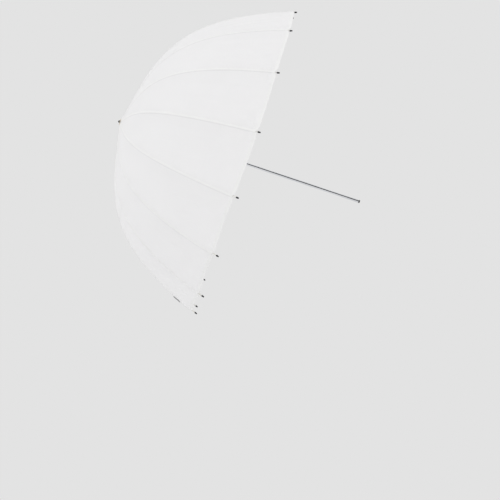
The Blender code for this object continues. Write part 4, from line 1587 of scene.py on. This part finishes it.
solid("shaft_plug",
      [(-0.0150, 0.0), (-0.0150, 0.0023), (-0.0143, 0.0029), (-0.0031, 0.0029),
       (-0.0031, 0.0040), (-0.0006, 0.0040), (0.0, 0.0034), (0.0, 0.0)],
      "root", ["shaft_end_cap"], "black_plastic", BLACK)
solid("crown_stud",
      [(-REACH - 0.0056, 0.0), (-REACH - 0.00545, 0.0011), (-REACH - 0.0050, 0.0020),
       (-REACH - 0.0042, 0.0028), (-REACH - 0.0032, 0.0032), (-REACH - 0.0022, 0.00335),
       (-REACH - 0.0013, 0.0034), (-REACH - 0.0013, 0.0029), (-REACH + 0.0120, 0.0029),
       (-REACH + 0.0126, 0.0023), (-REACH + 0.0126, 0.0)],
      "root", ["ferrule"], "dark_metal", DARK)
solid("crown_disc",
      [(-REACH - 0.0010, 0.0043), (-REACH - 0.0010, 0.0068), (-REACH - 0.0004, 0.0085),
       (-REACH + 0.0005, 0.0085), (-REACH - 0.0002, 0.0066), (-REACH - 0.0002, 0.0043)],
      "root", ["crown_washer"], "washer_brass", BRASS, 96, closed=True)

# catch: rounded tooth on its foot
tooth = [
    (CATCH_X + 0.0003, 0.0020), (CATCH_X + 0.0003, 0.0061), (CATCH_X + 0.00038, 0.0063),
    (CATCH_X + 0.0006, 0.0064), (CATCH_X + 0.0011, 0.0064), (CATCH_X + 0.0014, 0.00625),
    (CATCH_X + 0.0033, 0.0043), (CATCH_X + 0.0034, 0.0040), (CATCH_X + 0.0034, 0.0020),
]
shape = Shape()
verts, faces = plate(tooth, 0.0024, 0.00025)
shape.add(verts, faces, 0)
foot = [
    (CATCH_X - 0.0033, 0.0013), (CATCH_X + 0.0067, 0.0013), (CATCH_X + 0.0067, 0.0023),
    (CATCH_X - 0.0033, 0.0023),
]
verts, faces = plate(foot, 0.0032, 0.0002)
shape.add(verts, faces, 0)
place("catch_tooth", fix_normals(shape.mesh("catch_tooth", [STEEL], 30)), "latch_catch",
      ["latch_catch"], "plated_steel")

mid = CATCH_X + 0.0017
share = np.linspace(0, 1, 41)
bow_x = mid + (share - 0.5) * 0.034
bow_z = -0.00245 + 0.0032 * np.sin(math.pi * share) ** 2
leaf = [(x, z + 0.0002) for x, z in zip(bow_x, bow_z)]
leaf += [(x, z - 0.0002) for x, z in zip(bow_x[::-1], bow_z[::-1])]
shape = Shape()
verts, faces = plate(leaf, 0.0026, 0.00008)
shape.add(verts, faces, 0)
leaf_obj = place("catch_leaf", fix_normals(shape.mesh("catch_leaf", [WIRE], 30)), "root",
                 ["latch_spring"], "plated_steel")
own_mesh(leaf_obj)


# ------------------------------------------------------------ camera and stage
SCALE = RIM
phi, tau, twist = 0.0470, 0.3191, math.radians(4.18)
axis = np.array([
    math.cos(phi) * math.cos(tau), math.sin(phi) * math.cos(tau), -math.sin(tau)
])
vertical = np.array([0, 0, 1.0]) - axis * axis[2]
vertical /= np.linalg.norm(vertical)
sideways = np.cross(axis, vertical)
row_x = axis
row_z = math.cos(twist) * vertical + math.sin(twist) * sideways
row_y = math.sin(twist) * vertical - math.cos(twist) * sideways
M = np.stack([row_x, row_y, row_z], 1)
crown_at = np.array([-0.8135, 9.1030, 0.8032]) * SCALE
origin_at = crown_at + axis * REACH
camera_data = bpy.data.cameras.new("camera")
camera_data.sensor_width = 36.0
camera_data.lens = 104.578
camera_data.clip_start, camera_data.clip_end = 0.05, 200
camera = bpy.data.objects.new("camera", camera_data)
bpy.context.scene.collection.objects.link(camera)
right, up, back = M.T @ [1, 0, 0], M.T @ [0, 0, 1], M.T @ [0, -1, 0]
where = M.T @ (-origin_at)
matrix = Matrix.Identity(4)
for i in range(3):
    matrix[i][0], matrix[i][1], matrix[i][2], matrix[i][3] = right[i], up[i], back[i], where[i]
camera.matrix_world = matrix
bpy.context.scene.camera = camera

PALE = 0.768
floor_mesh = bpy.data.meshes.new("floor")
floor_mesh.from_pydata(
    [(-60, -60, -1.30), (60, -60, -1.30), (60, 60, -1.30), (-60, 60, -1.30)], [], [(0, 1, 2, 3)]
)
floor = bpy.data.objects.new("floor", floor_mesh)
bpy.context.scene.collection.objects.link(floor)
s = Shader("pale_floor")
rays = s.put("LightPath").outputs["Is Camera Ray"]
matte = s.put("BsdfDiffuse", Color=(0.90, 0.90, 0.90, 1))
seen = s.put("Emission", Color=(PALE, PALE, PALE, 1), Strength=1.0)
floor_mesh.materials.append(
    s.done(s.put("MixShader", Fac=rays, i1=matte.outputs[0], i2=seen.outputs[0]).outputs[0])
)

world = bpy.data.worlds.new("studio")
bpy.context.scene.world = world
world.use_nodes = True
tree = world.node_tree
tree.nodes.clear()


def node(kind, **settings):
    made = tree.nodes.new("ShaderNode" + kind)
    for key, value in settings.items():
        setattr(made, key, value)
    return made


out = node("OutputWorld")
path = node("LightPath")
seen = node("Background")
seen.inputs[0].default_value = (PALE, PALE, PALE, 1)
soft = node("Background")
soft.inputs[0].default_value = (1.0, 0.998, 1.0, 1)
glossy = node("Background")
glossy.inputs[1].default_value = 1.0
coord = node("TexCoord")
# the room is a little brighter on the crown side and behind the camera
lean = node("VectorMath", operation="DOT_PRODUCT")
lean.inputs[1].default_value = tuple(
    np.array(back) * 0.48 - np.array(right) * 0.77 - np.array(up) * 0.42
)
tree.links.new(coord.outputs["Generated"], lean.inputs[0])
level = node("MapRange")
level.inputs["From Min"].default_value = -1.0
level.inputs["From Max"].default_value = 1.0
level.inputs["To Min"].default_value = 1.095 * (1 - 0.08)
level.inputs["To Max"].default_value = 1.095 * (1 + 0.08)
tree.links.new(lean.outputs["Value"], level.inputs["Value"])
tree.links.new(level.outputs["Result"], soft.inputs["Strength"])
dot = node("VectorMath", operation="DOT_PRODUCT")
dot.inputs[1].default_value = tuple(back)
tree.links.new(coord.outputs["Generated"], dot.inputs[0])
room = node("MapRange", interpolation_type="SMOOTHSTEP")
room.inputs["From Min"].default_value = -0.30
room.inputs["From Max"].default_value = 0.45
room.inputs["To Min"].default_value = 0.62
room.inputs["To Max"].default_value = 0.055
tree.links.new(dot.outputs["Value"], room.inputs["Value"])
above = node("VectorMath", operation="DOT_PRODUCT")
above.inputs[1].default_value = tuple(up)
tree.links.new(coord.outputs["Generated"], above.inputs[0])
lamp = node("MapRange", interpolation_type="SMOOTHSTEP")
lamp.inputs["From Min"].default_value = 0.80
lamp.inputs["From Max"].default_value = 0.93
lamp.inputs["To Min"].default_value = 0.0
lamp.inputs["To Max"].default_value = 1.1
tree.links.new(above.outputs["Value"], lamp.inputs["Value"])
total = node("Math", operation="ADD")
tree.links.new(room.outputs["Result"], total.inputs[0])
tree.links.new(lamp.outputs["Result"], total.inputs[1])
tree.links.new(total.outputs[0], glossy.inputs["Color"])
first = node("MixShader")
tree.links.new(path.outputs["Is Glossy Ray"], first.inputs[0])
tree.links.new(soft.outputs[0], first.inputs[1])
tree.links.new(glossy.outputs[0], first.inputs[2])
second = node("MixShader")
tree.links.new(path.outputs["Is Camera Ray"], second.inputs[0])
tree.links.new(first.outputs[0], second.inputs[1])
tree.links.new(seen.outputs[0], second.inputs[2])
tree.links.new(second.outputs[0], out.inputs["Surface"])


def area(name, offset, size, power, tint=(1, 1, 1)):
    data = bpy.data.lights.new(name, "AREA")
    data.shape = "SQUARE"
    data.size = size
    data.energy = power
    data.color = tint
    obj = bpy.data.objects.new(name, data)
    bpy.context.scene.collection.objects.link(obj)
    target = Vector((-0.45, 0, 0))
    obj.location = target + Vector(offset)
    obj.rotation_euler = (-Vector(offset)).to_track_quat("-Z", "Y").to_euler()
    return obj


# big soft key from above and a little to the left of the camera
area("key", tuple(np.array(up) * 2.0 + np.array(back) * 0.9 - np.array(right) * 2.6), 2.4, 10,
     (1.0, 0.995, 0.985))

view = bpy.context.scene.view_settings
view.view_transform = "Standard"
view.look = "None"
view.exposure = 0.0
view.gamma = 1.0
